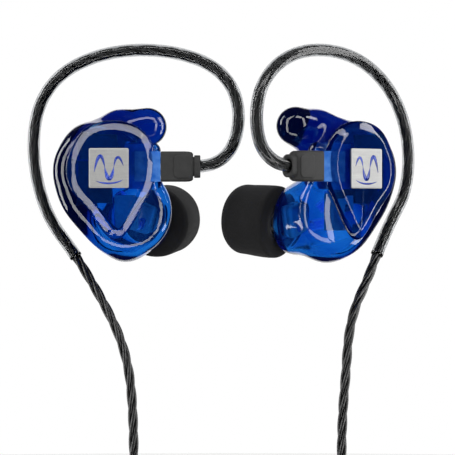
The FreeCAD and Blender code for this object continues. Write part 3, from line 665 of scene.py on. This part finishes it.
def outer_field(points):
    """The shell's outside: body, cheek, lobe, canal and socket boss, blended, then cut flat where
    the faceplate and the foam tip sit."""
    body = round_cone(points, (-1.9, 4.7, -0.4), (2.6, 8.0, -13.1), 8.4, 3.4)
    cheek = round_cone(flattened(points, 4.6, 1.6), (-2.25, 5.6, -4.5), (-2.15, 5.6, -3.5), 6.6, 6.6)
    lobe = round_cone(points, (1.6, 12.4, 6.55), (6.55, 12.0, 7.8), 4.25, 3.5)
    ridge = round_cone(points, (-3.8, 7.45, 3.8), (1.6, 12.4, 6.55), 4.4, 4.25)
    canal = round_cone(points, (2.9, 5.6, -7.7), (4.4, 13.7, -9.2), 8.25, 6.3)
    canal = soft_max(canal, dot(points - CANAL_END, NOZZLE_AXIS), 0.7)
    boss = round_box(points, (3.0, 0.9, -4.2), (9.2, 6.1, 4.8), 1.6)
    form = soft_min(body, cheek, 2.0)
    form = soft_min(form, canal, 2.6)
    form = soft_min(form, soft_min(lobe, ridge, 1.0), 2.2)
    form = soft_min(form, boss, 0.9)
    return soft_max(form, SHELL_FRONT - points[..., 1], 3.6)


def cavity_field(points):
    """The hollow: a chamber below the badge with a V outline, a pocket for the socket and the
    canal. Elsewhere the resin is solid."""
    forward, up = points[..., 0], points[..., 2]
    left = (-0.787 * (forward + 4.4) - 0.617 * (up + 3.5))
    right = (0.80 * (forward - 6.8) - 0.60 * (up + 3.7))
    chamber = soft_max(soft_max(left, right, 0.8), up + 3.4, 0.8)
    chamber = soft_max(chamber, points[..., 1] - 8.4, 1.2)
    pocket = round_box(points, (2.2, 0.4, -4.0), (8.3, 5.3, 5.0), 1.2)
    canal = round_cone(points, (3.4, 7.2, -8.2), (6.6, 13.0, -9.5), 7.2, 5.2)
    opened = soft_max(soft_min(chamber, pocket, 0.5), outer_wall(points) + 1.0, 0.4)
    return soft_min(opened, soft_max(canal, outer_field(points) + 1.0, 0.4), 0.8)


def outer_wall(points):
    """The outside again, open at the front, so that the chamber reaches the faceplate."""
    opened = points.copy()
    opened[..., 1] = np.maximum(points[..., 1], SHELL_FRONT + 1.6)
    return outer_field(opened)


def shell_field(points):
    return soft_max(outer_field(points), -cavity_field(points), 0.3)


print("field at the body's middle", outer_field(np.array([[0.0, 5.0, 0.0]])))

# %% Surface of a field


def slope(field, points, step=0.02):
    """The field's gradient by central differences along each axis."""
    steps = np.eye(3) * step
    return np.stack([(field(points + move) - field(points - move)) / (2 * step)
                     for move in steps], -1)


def surface_of(field, low, high, step, relax=6):
    """Quads round the zero of a field. Each lattice cell that the surface crosses gets one point,
    the middle of its edges' crossings, and each crossed edge joins its four cells with a quad.
    The points are then evened out and pulled onto the surface along the gradient."""
    axes = [np.arange(a, b + step, step) for a, b in zip(low, high)]
    lattice = np.stack(np.meshgrid(*axes, indexing="ij"), -1)
    value = field(lattice)
    cells = np.array(value.shape) - 1
    total, count = np.zeros((*cells, 3)), np.zeros(cells)
    ways = np.eye(3, dtype=int)
    crossings = []
    for axis in range(3):
        others = [other for other in range(3) if other != axis]
        spot = np.argwhere(np.diff(value < 0, axis=axis))
        spot = spot[np.all([(spot[:, other] > 0) & (spot[:, other] < cells[other])
                            for other in others], 0)]
        first, second = value[tuple(spot.T)], value[tuple((spot + ways[axis]).T)]
        point = lattice[tuple(spot.T)]
        point[:, axis] += first / (first - second) * step
        around = []
        for shift in ((0, 0), (1, 0), (1, 1), (0, 1)):
            around.append(spot - shift @ ways[others])
            np.add.at(total, tuple(around[-1].T), point)
            np.add.at(count, tuple(around[-1].T), 1)
        crossings.append((np.stack(around, 1), (first < 0) != (axis == 1)))
    used = count > 0
    index = np.full(cells, -1)
    index[used] = np.arange(used.sum())
    points = total[used] / count[used][:, None]
    around, outward = (np.concatenate(part) for part in zip(*crossings))
    quads = index[tuple(np.moveaxis(around, -1, 0))]
    quads[~outward] = quads[~outward][:, ::-1]
    edges = np.concatenate([quads[:, [corner, (corner + 1) % 4]] for corner in range(4)])
    for _ in range(relax):
        pulled, near = np.zeros_like(points), np.zeros(len(points))
        for start, end in ((0, 1), (1, 0)):
            np.add.at(pulled, edges[:, start], points[edges[:, end]])
            np.add.at(near, edges[:, start], 1)
        points = points * 0.4 + pulled / near[:, None] * 0.6
        for _ in range(2):
            grade = slope(field, points)
            size = np.maximum(dot(grade, grade), 0.05)
            move = (field(points) / size)[:, None] * grade
            points = points - np.clip(move, -step, step)
    return points, quads


SHELL_LOW, SHELL_HIGH = (-12.0, 0.6, -18.6), (14.0, 18.0, 13.0)
SHELL_STEP = 0.33
shell_points, shell_quads = surface_of(shell_field, SHELL_LOW, SHELL_HIGH, SHELL_STEP)
print("shell surface:", len(shell_points), "points", shell_points.min(0), shell_points.max(0))

# %% Shells
shells = both_sides("*_resin_shell", (shell_points, shell_quads), blue_resin, "*_monitor",
                    "clear_blue", "*_shell")
print("shells:", [shell.name for shell in shells])

# %% [markdown]
# ## Faceplate and badge
#
# The faceplate is a lid of the same resin with a wide bevelled rim. A Bevel modifier would round
# its edge evenly, but the real rim is a nearly flat slope that turns down at its edge. So one
# outline is drawn in towards the middle by the steps of a profile, which makes the flat face, the
# rim and the back in one go. Along the rim the surface tilts quickly to 28 degrees, stays near
# that, and turns down at the edge.

# %% Faceplate
PLATE_OUTLINE = np.array([(0.0, 7.9), (4.8, 6.9), (7.6, 3.2), (7.6, -2.0), (5.2, -7.0), (2.8, -11.0),
                          (1.2, -12.1), (-0.5, -11.1), (-3.4, -7.0), (-6.5, -3.2), (-7.0, 1.2),
                          (-4.4, 6.2)])
PLATE_MIDDLE = np.array([0.4, -1.2])
SMOOTH = 7


def closed_outline(corners, count):
    """A smooth closed curve through corners: each piece is the cubic whose slope at a corner is
    half the step between that corner's neighbours."""
    share = np.arange(count) / count * len(corners)
    index, t = np.floor(share).astype(int), (share % 1)[:, None]
    before, here, after, beyond = (corners[(index + shift) % len(corners)] for shift in (-1, 0, 1, 2))
    return 0.5 * (2 * here + (after - before) * t
                  + (2 * before - 5 * here + 4 * after - beyond) * t ** 2
                  + (3 * here - before - 3 * after + beyond) * t ** 3)


def drawn_in(outline, middle, profile):
    """Rings of a lid, one for each (inset, depth, share): the outline moved in by the inset along
    its normal, averaged over SMOOTH neighbours each way so that it can't fold at the tip, and then
    scaled towards the middle by the share."""
    tangent = np.roll(outline, -1, 0) - np.roll(outline, 1, 0)
    normal = np.column_stack([tangent[:, 1], -tangent[:, 0]])
    normal /= np.linalg.norm(normal, axis=1, keepdims=True)
    normal = sum(np.roll(normal, shift, 0) for shift in range(-SMOOTH, SMOOTH + 1)) / (2 * SMOOTH + 1)
    normal *= np.sign(np.sum(normal * (middle - outline)))
    rings = []
    for inset, depth, part in profile:
        flat = middle + (outline + normal * inset - middle) * part
        rings.append(np.column_stack([flat[:, 0], np.full(len(flat), depth), flat[:, 1]]))
    return np.stack(rings)


RIM_IN, RIM_OUT, RIM_DEEP, PLATE_DEEP = 1.5, -0.6, 1.25, 1.5
share = np.linspace(0, 1, 36)
tilt = np.radians(28 * (1 - (1 - share) ** 8) + 62 * share ** 12)
run_in, run_deep = (np.concatenate([[0], np.cumsum((way[1:] + way[:-1]) / 2)])
                    for way in (np.cos(tilt), np.sin(tilt)))
rim = [(inset, depth, 1.0) for inset, depth in zip(RIM_IN + (RIM_OUT - RIM_IN) * run_in / run_in[-1],
                                                   RIM_DEEP * run_deep / run_deep[-1])]
plate_profile = ([(RIM_IN + 0.2, 0.0, part) for part in (0.03, 0.4, 0.8, 1.0)] + rim
                 + [(RIM_OUT + 0.02, 1.40, 1.0)]
                 + [(RIM_OUT + 0.12, PLATE_DEEP, part) for part in (1.0, 0.85, 0.4, 0.03)])
plate_outline = closed_outline(PLATE_OUTLINE, 240)
plate_form = capped(drawn_in(plate_outline, PLATE_MIDDLE, plate_profile))
both_sides("*_resin_faceplate", plate_form, blue_resin, "*_monitor", "clear_blue", "*_faceplate")
print("faceplate rings:", len(plate_profile))

# %% [markdown]
# The badge is a thin square of brushed metal let into the faceplate. A bevelled cube would do, but
# the plug, the small driver and the straps are rounded rectangles too, so one helper draws the
# outline, and another stacks outlines into a block. The brushing is noise stretched thirty times.

# %% Badge plate


def rounded_square(half_wide, half_high, radius, count):
    """A rectangle with round corners: each quarter of the directions round is drawn on its own
    corner's circle, and the straight sides join the quarters."""
    spin = (np.arange(count) + 0.5) / count * 2 * math.pi
    across, up = np.cos(spin), np.sin(spin)
    corner = np.column_stack([np.sign(across) * (half_wide - radius),
                              np.sign(up) * (half_high - radius)])
    return corner + radius * np.column_stack([across, up])


def block(half_wide, half_high, radius, profile, count=64):
    """Rings of a rounded block, as (across, up, depth) points: its outline shrunk by each inset of
    the profile, at the depth that goes with it."""
    rings = []
    for inset, depth in profile:
        flat = rounded_square(half_wide - inset, half_high - inset, max(radius - inset, 0.02), count)
        rings.append(np.column_stack([flat, np.full(count, depth)]))
    return np.stack(rings)


BADGE_FRONT, BADGE_BACK, BADGE_HALF = -0.15, 0.6, 3.55
badge_rings = block(BADGE_HALF, BADGE_HALF, 0.3, [(3.3, BADGE_FRONT), (0.4, BADGE_FRONT),
                                                  (0.05, BADGE_FRONT), (0.0, BADGE_FRONT + 0.05),
                                                  (0.0, BADGE_BACK), (3.3, BADGE_BACK)])
badge_form = capped(badge_rings[..., [0, 2, 1]])

silver = Graph("brushed_silver")
brush = silver.noise(1.0, 4.0, silver.place((300, 300, 9000)))
speck = silver.noise(9000, 2.0)
grained = brush * 0.5 + speck * 0.5
silver.set(Base_Color=silver.ramp(grained, (0.3, [0.27] * 3), (0.7, (0.40, 0.40, 0.39))),
           Roughness=brush * 0.2 + 0.32, Metallic=0.35)
silver.bump(grained, 0.00001)
both_sides("*_badge_plate", badge_form, silver.material, "*_monitor", "brushed_silver", "*_badge")
print("badge plate half", BADGE_HALF, "mm wide, of", len(badge_rings), "rings")

# %% [markdown]
# The badge carries a plain abstract mark: three tapered strokes that swing like a sound wave, and a
# fourth below them. They could be cut from an image, but drawn shapes stay sharp from close by.
# Each stroke is a thin bar whose half width follows a sine along its length, so that it begins and
# ends in a point.

# %% Badge strokes


def stroke(points, half_width, front, back, count=40):
    """A tapered bar along a cubic through four points in the badge's plane: its half width is a
    sine of the share of its length, and it stands from back to front."""
    t = np.linspace(0, 1, count)[:, None]
    a, b, c, d = (np.array(point, float) for point in points)
    line = (1 - t) ** 3 * a + 3 * (1 - t) ** 2 * t * b + 3 * (1 - t) * t ** 2 * c + t ** 3 * d
    tangent = np.gradient(line, axis=0)
    tangent /= np.linalg.norm(tangent, axis=1, keepdims=True)
    normal = np.column_stack([-tangent[:, 1], tangent[:, 0]])
    wide = half_width * np.sin(math.pi * np.clip(t, 0.02, 0.98)) ** 0.7
    one, two = line + normal * wide, line - normal * wide
    ring = [np.column_stack([flat[:, 0], np.full(count, depth), flat[:, 1]])
            for flat, depth in ((one, back), (one, front), (two, front), (two, back))]
    return np.stack(ring, 1)


STROKES = [([(-2.6, -0.7), (-1.9, 2.9), (-1.2, 2.9), (-0.7, 0.1)], 0.32),
           ([(-0.7, 0.1), (-0.3, -2.4), (0.5, -2.6), (0.9, 0.2)], 0.40),
           ([(0.9, 0.2), (1.25, 2.4), (1.9, 2.5), (2.6, 0.4)], 0.24),
           ([(-2.3, -2.3), (-1.0, -2.9), (1.2, -2.9), (2.5, -2.1)], 0.16)]
mark_form = merged([capped(stroke(points, half, BADGE_FRONT - 0.03, BADGE_FRONT + 0.1))
                    for points, half in STROKES])
enamel = finish("blue_enamel", (0.0, 0.006, 0.10), (0.01, 0.05, 0.42), 0.15, 0.0016, 0.000002,
                Coat_Weight=0.6)
both_sides("*_badge_mark", mark_form, enamel, "*_monitor", "clear_blue")
print("badge mark of", len(STROKES), "strokes")

# %% [markdown]
# ## Plug
#
# The two-pin plug is a soft-touch moulded block with a raised grip panel, and a collar from which
# the cable leaves. Joined boxes would show seams that the moulding doesn't have, so it is one loft
# of rounded rectangles, from the face with the pins to the cable's round hole.

# %% Plug housing
PLUG_LEVEL, PLUG_MIDDLE = 0.3, 2.1
plug_plastic = finish("plug_plastic", [0.02] * 3, [0.03] * 3, 0.62, 0.00012, 0.000006,
                      Specular_IOR_Level=0.18)


def plug_ring(forward, high, thick, radius, count=72):
    """One rounded rectangle of the loft, across the plug's own axis at a distance forward."""
    flat = rounded_square(thick / 2, high / 2, radius, count)
    return np.column_stack([np.full(count, forward), PLUG_MIDDLE + flat[:, 0],
                            PLUG_LEVEL + flat[:, 1]])


PLUG_RINGS = [(9.25, 0.3, 0.2, 0.1), (9.25, 5.1, 3.1, 0.4), (9.32, 5.32, 3.32, 0.45),
              (9.45, 5.4, 3.4, 0.5), (13.6, 5.4, 3.4, 0.6), (14.3, 5.34, 3.36, 0.9),
              (14.75, 5.1, 3.2, 1.1), (15.0, 4.6, 2.9, 1.2), (15.02, 3.5, 2.5, 1.1),
              (15.2, 3.5, 2.5, 1.1), (15.22, 4.0, 2.95, 1.15), (15.3, 4.05, 3.0, 1.2),
              (16.15, 4.05, 3.0, 1.2), (16.26, 3.95, 2.9, 1.2), (16.3, 3.8, 2.75, 1.2),
              (16.3, 2.62, 2.62, 1.3), (16.2, 2.5, 2.5, 1.25), (15.35, 2.45, 2.45, 1.22),
              (15.35, 0.3, 0.3, 0.15)]
plug_form = capped(np.stack([plug_ring(*ring) for ring in PLUG_RINGS]))
panel_rings = block(1.62, 2.13, 0.95, [(1.3, -0.24), (0.22, -0.24), (0.08, -0.2), (0.0, -0.1),
                                       (0.0, 0.15), (1.3, 0.15)])
panel_form = capped(panel_rings[..., [0, 2, 1]] + (13.13, PLUG_MIDDLE - 1.7, PLUG_LEVEL))
both_sides("*_plug_block", plug_form, plug_plastic, "cable", "dark_plastic", "*_plug_housing")
both_sides("*_plug_panel", panel_form, plug_plastic, "cable", "dark_plastic")
print("plugs of", len(PLUG_RINGS), "rings")

# %% [markdown]
# ## Foam tip
#
# The tip is soft memory foam on a core tube: a stout barrel with a dome edge at its front. Foam this
# small keeps its moulded shape, so its profile is turned about the nozzle's axis rather than
# simulated. Slow waves make it a little uneven, and fine pores in the finish make it matt.

# %% Foam tip
foam = Graph("black_foam")
pores = foam.add("TexVoronoi", {"feature": "F1"}, Vector=foam.place(), Scale=5200.0)
cells = foam.noise(3800, 5.0, roughness=0.7)
lumps = foam.noise(240, 2.0)
foam.set(Base_Color=foam.ramp(cells * 0.7 + lumps * 0.3, (0.3, (0.004, 0.004, 0.0045)),
                              (0.7, (0.009, 0.009, 0.010))),
         Roughness=cells * 0.12 + 0.82, Sheen_Weight=0.05, Sheen_Roughness=0.5,
         Specular_IOR_Level=0.2)
foam.bump(pores * 0.6 + cells * 0.7 + lumps * 0.5, 0.00007)


def turned(profile, origin, axis, count=96, uneven=0.0):
    """Rings of a form turned about an axis: each profile pair is a radius and a height. The
    unevenness adds slow waves round and along it."""
    axis = np.array(axis, float) / np.linalg.norm(axis)
    across = np.cross(axis, (0.0, 0.0, 1.0) if abs(axis[2]) < 0.9 else (1.0, 0.0, 0.0))
    across /= np.linalg.norm(across)
    other = np.cross(axis, across)
    spin = ring_turn(count)
    radius, height = (np.array(column, float)[:, None, None] for column in zip(*profile))
    wave = 1 + uneven * (np.sin(3 * spin + height * 0.5) + 0.6 * np.sin(7 * spin - height * 0.9))
    return (np.array(origin, float) + radius * wave * (across * np.cos(spin) + other * np.sin(spin))
            + axis * height)


def arc(radius, middle_radius, middle_height, start, end, count):
    """Profile points on a circle's arc, from one angle to another, in degrees."""
    angles = np.radians(np.linspace(start, end, count))
    return [(middle_radius + radius * math.cos(angle), middle_height + radius * math.sin(angle))
            for angle in angles]


TIP_PROFILE = ([(3.18, 0.25), (3.3, 0.0), (4.6, 0.02)] + arc(0.7, 5.85, 0.72, -90, 0, 8)
               + [(6.6, 1.6), (6.58, 3.0), (6.5, 4.6), (6.38, 6.2)] + arc(2.7, 3.66, 7.1, 0, 84, 16)
               + [(3.5, 9.62), (3.25, 9.2), (3.17, 8.4), (3.16, 5.0), (3.16, 1.0)])
CORE_PROFILE = [(2.52, 0.05), (3.1, 0.05), (3.14, 0.3), (3.14, 8.4), (3.05, 8.6), (2.6, 8.6),
                (2.52, 8.4)]
core_black = finish("core_rubber", (0.012, 0.012, 0.013), (0.022, 0.022, 0.024), 0.4, 0.0002,
                    0.000006)
tip_form = looped(turned(TIP_PROFILE, TIP_BACK, NOZZLE_AXIS, uneven=0.004))
core_form = looped(turned(CORE_PROFILE, TIP_BACK, NOZZLE_AXIS, 64))
for tip in both_sides("*_foam_barrel", tip_form, foam.material, "*_ear_tip", "black_foam",
                      "*_foam_tip"):
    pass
both_sides("*_core_tube", core_form, core_black, "*_ear_tip", "core_rubber", "*_tip_core")
print("foam tips of", len(TIP_PROFILE), "rings")

# %% [markdown]
# ## Inside the shells
#
# The pieces inside are seen only through the resin. The socket and the sound tubes are clear
# plastic, and the drivers are metal cans. The frame's own shapes are right for most of them, so
# they stay, and only get their finishes: two close tones mixed by noise, with a fine bump.

# %% Inner finishes
def paint(material, *names):
    """Gives carried-over CAD nodes this material in each of their slots."""
    for name in names:
        node = bpy.data.objects[name]
        if not node.material_slots:
            node.data.materials.append(material)
        for spot in node.material_slots:
            spot.material = material


gold = finish("gold_plate", (0.62, 0.40, 0.12), (0.80, 0.55, 0.20), 0.22, 0.0003, 0.000002, metal=1.0)
dark_can = finish("dark_can", (0.020, 0.022, 0.030), (0.045, 0.048, 0.060), 0.34, 0.0004, 0.000003,
                  metal=0.6)
pale_can = finish("pale_can", (0.42, 0.42, 0.45), (0.58, 0.57, 0.60), 0.3, 0.0005, 0.000004, metal=0.35)
board_blue = finish("board_mask", (0.002, 0.005, 0.016), (0.006, 0.012, 0.035), 0.35, 0.0003, 0.000005)
enamel_wire = finish("wire_enamel", (0.003, 0.002, 0.002), (0.012, 0.006, 0.004), 0.25, 0.0002, 0.000002)
damper_white = finish("damper_plastic", (0.50, 0.50, 0.47), (0.66, 0.65, 0.62), 0.6, 0.0002, 0.00001)
steel = finish("nozzle_steel", (0.30, 0.31, 0.33), (0.45, 0.46, 0.48), 0.28, 0.0004, 0.000003, metal=0.9)
# The sound tubes' resin carries a faint painted glow too, painted light.
clear_tube = resin("clear_tube", (0.74, 0.70, 1.0), (0.55, 0.5, 0.9), 250.0, (0.01, 0.005, 0.03))
gauze = Graph("steel_gauze")
warp, woof = (gauze.add("TexWave", {"bands_direction": way}, Vector=gauze.place(), Scale=1300.0)
              for way in ("X", "Z"))
crossed = warp * woof
gauze.set(Base_Color=gauze.ramp(crossed, (0.1, (0.02, 0.02, 0.02)), (0.5, (0.4, 0.4, 0.42))),
          Roughness=0.35, Metallic=0.9)
gauze.bump(crossed, 0.00004)
INNER = {"socket_block": socket_clear.material, "socket_cup": socket_clear.material,
         "socket_contacts": gold, "plug_pins": gold, "bass_driver": dark_can,
         "mid_driver": pale_can, "crossover_board": board_blue, "sound_tubes": clear_tube,
         "hookup_wires": enamel_wire, "nozzle": steel, "damper": damper_white,
         "nozzle_mesh": gauze.material}
for side in SIDES:
    for name, material in INNER.items():
        paint(material, f"{side}_{name}")
print("inner nodes painted:", len(INNER), "on each side")

# %% [markdown]
# The small driver in the canal is a pale rounded can with a seam round it and an oval port on its
# side. It lies across the nozzle's axis, so it is drawn upright and then swung onto that axis.

# %% Canal driver
CAN_WIDE, CAN_HIGH, CAN_THICK, CAN_BACK = 4.2, 5.7, 2.4, 4.4
CAN_MIDDLE = TIP_BACK + (-0.4, 0.2, 0.9)


def along_nozzle(points):
    """Turns points whose third axis is the nozzle's into the ear frame by the shortest rotation,
    I + K + K K / (1 + c), and shifts them to the canal."""
    upright = np.array([0.0, 0.0, 1.0])
    swing = np.cross(upright, NOZZLE_AXIS)
    k = np.array([[0, -swing[2], swing[1]], [swing[2], 0, -swing[0]], [-swing[1], swing[0], 0]])
    rotation = np.eye(3) + k + k @ k / (1 + NOZZLE_AXIS[2])
    return points @ rotation.T + CAN_MIDDLE


can_rings = block(CAN_WIDE / 2, CAN_HIGH / 2, 0.9,
                  [(2.0, -CAN_BACK), (0.5, -CAN_BACK), (0.15, 0.1 - CAN_BACK), (0.0, 0.4 - CAN_BACK),
                   (0.0, 1.15 - CAN_BACK), (0.07, 1.2 - CAN_BACK), (0.0, 1.25 - CAN_BACK),
                   (0.0, CAN_THICK - 0.4 - CAN_BACK), (0.15, CAN_THICK - 0.1 - CAN_BACK),
                   (0.5, CAN_THICK - CAN_BACK), (2.0, CAN_THICK - CAN_BACK)])
port_rings = block(0.62, 1.15, 0.6, [(0.5, 0.12), (0.18, 0.12), (0.1, 0.2), (0.0, 0.14), (0.0, -0.2),
                                     (0.5, -0.2)], 48) * (1, 1, -1) + (0.2, 0.9, -CAN_BACK - 0.02)
port_blue = finish("port_screen", (0.01, 0.10, 0.45), (0.02, 0.18, 0.65), 0.3, 0.0002, 0.000003)
both_sides("*_treble_can", capped(along_nozzle(can_rings)), pale_can, "*_monitor", "driver_can",
           "*_treble_driver")
both_sides("*_treble_port", capped(along_nozzle(port_rings)), port_blue, "*_monitor", "driver_can")
print("canal drivers of", len(can_rings), "rings")

# %% [markdown]
# ## Straps and fittings
#
# A woven strap holds each coil: a band round the bundle, thicker where its end laps over. A cloth
# simulation would crumple so small a band, so its section is carried round the bundle directly.

# %% Coil straps
webbing = Graph("tie_webbing")
weft = webbing.add("TexWave", {"bands_direction": "DIAGONAL"}, Vector=webbing.place(), Scale=520.0,
                   Distortion=1.5, Detail=2.0)
fuzz = webbing.noise(5200, 4.0)
webbing.set(Base_Color=webbing.ramp(weft * 0.6 + fuzz * 0.4, (0.25, (0.006, 0.006, 0.007)),
                                    (0.75, (0.028, 0.028, 0.031))),
            Roughness=fuzz * 0.15 + 0.78, Sheen_Weight=0.12)
webbing.bump(weft * 0.7 + fuzz * 0.3, 0.00012)


LAP, RIB, RIBS = 0.4, 0.03, 40


def strap_rings(half_across, half_along, wide, thick, count=160):
    """Rings of a band round a bundle, as (across, width, along) points. The path is a rounded
    rectangle; the section is a flat superellipse. The outside stands a lap prouder about a quarter
    of the way round, and ripples with the ribs of the weave."""
    path = rounded_square(half_across, half_along, min(half_across, half_along, 1.3), count)
    tangent = np.roll(path, -1, 0) - np.roll(path, 1, 0)
    normal = np.column_stack([tangent[:, 1], -tangent[:, 0]])
    normal /= np.linalg.norm(normal, axis=1, keepdims=True)
    spin = np.linspace(0, 2 * math.pi, 20, endpoint=False)
    flat = np.sign(np.cos(spin)) * np.abs(np.cos(spin)) ** 0.35 * wide / 2
    proud = np.sign(np.sin(spin)) * np.abs(np.sin(spin)) ** 0.7 * thick / 2
    place = np.arange(count) / count
    lap = LAP / (1 + np.exp(-(np.sin(2 * math.pi * place) - 0.7) * 25))
    ribs = RIB * np.sin(2 * math.pi * place * RIBS)
    out = proud[None, :] + (proud > 0)[None, :] * (lap + ribs)[:, None]
    flat_path = path[:, None] + normal[:, None] * out[..., None]
    return np.stack([flat_path[..., 0], np.broadcast_to(flat, out.shape), flat_path[..., 1]], -1)


STRAP_WIDE, STRAP_THICK = 3.0, 0.7
side_rings = strap_rings(4.3, 1.45, STRAP_WIDE, STRAP_THICK)[..., [1, 0, 2]]
main_rings = strap_rings(2.85, 8.85, STRAP_WIDE, STRAP_THICK)[..., [0, 2, 1]]
for name, rings, middle in (("right", side_rings, (RIGHT_COIL[0], 3.75, -95.9)),
                            ("left", side_rings, (LEFT_COIL[0], 3.75, -95.9)),
                            ("main", main_rings, (-6.25, 11.2, MAIN_COIL[1]))):
    strap = solid(name + "_coil_strap", *looped((rings + middle) / 1000), webbing.material)
    settle(strap, "cable", "tie_fabric", name + "_coil_tie")
print("straps with", RIBS, "ribs")

# %% [markdown]
# The split and the jack are turned metal: a lathe leaves a fine grain round them, which is noise
# stretched across their upright axis. The relief is rubber, and the jack's poles are gold plated.

# %% Fittings
turned_black = Graph("turned_black")
lathe = turned_black.noise(1.0, 3.0, turned_black.place((400, 400, 14000)))
scuff = turned_black.noise(700, 4.0)
turned_black.set(Base_Color=turned_black.ramp(lathe * 0.5 + scuff * 0.5, (0.3, (0.010, 0.010, 0.011)),
                                              (0.7, (0.030, 0.030, 0.033))),
                 Roughness=scuff * 0.2 + 0.22, Metallic=0.7)
turned_black.bump(lathe * 0.7 + scuff * 0.3, 0.00001)
relief_black = finish("relief_rubber", [0.01] * 3, [0.02] * 3, 0.55, 0.0003, 0.00001)
paint(turned_black.material, "y_split", "jack_grip")
paint(relief_black, "jack_relief", "jack_insulators")
paint(gold, "jack_sleeve_pole", "jack_ring_pole", "jack_tip_pole")
print("fittings painted")

# %% [markdown]
# A side's lead ends in the split; the main lead begins there and ends in the jack.

# %% Cords
print("cords declared:", ", ".join(cords))
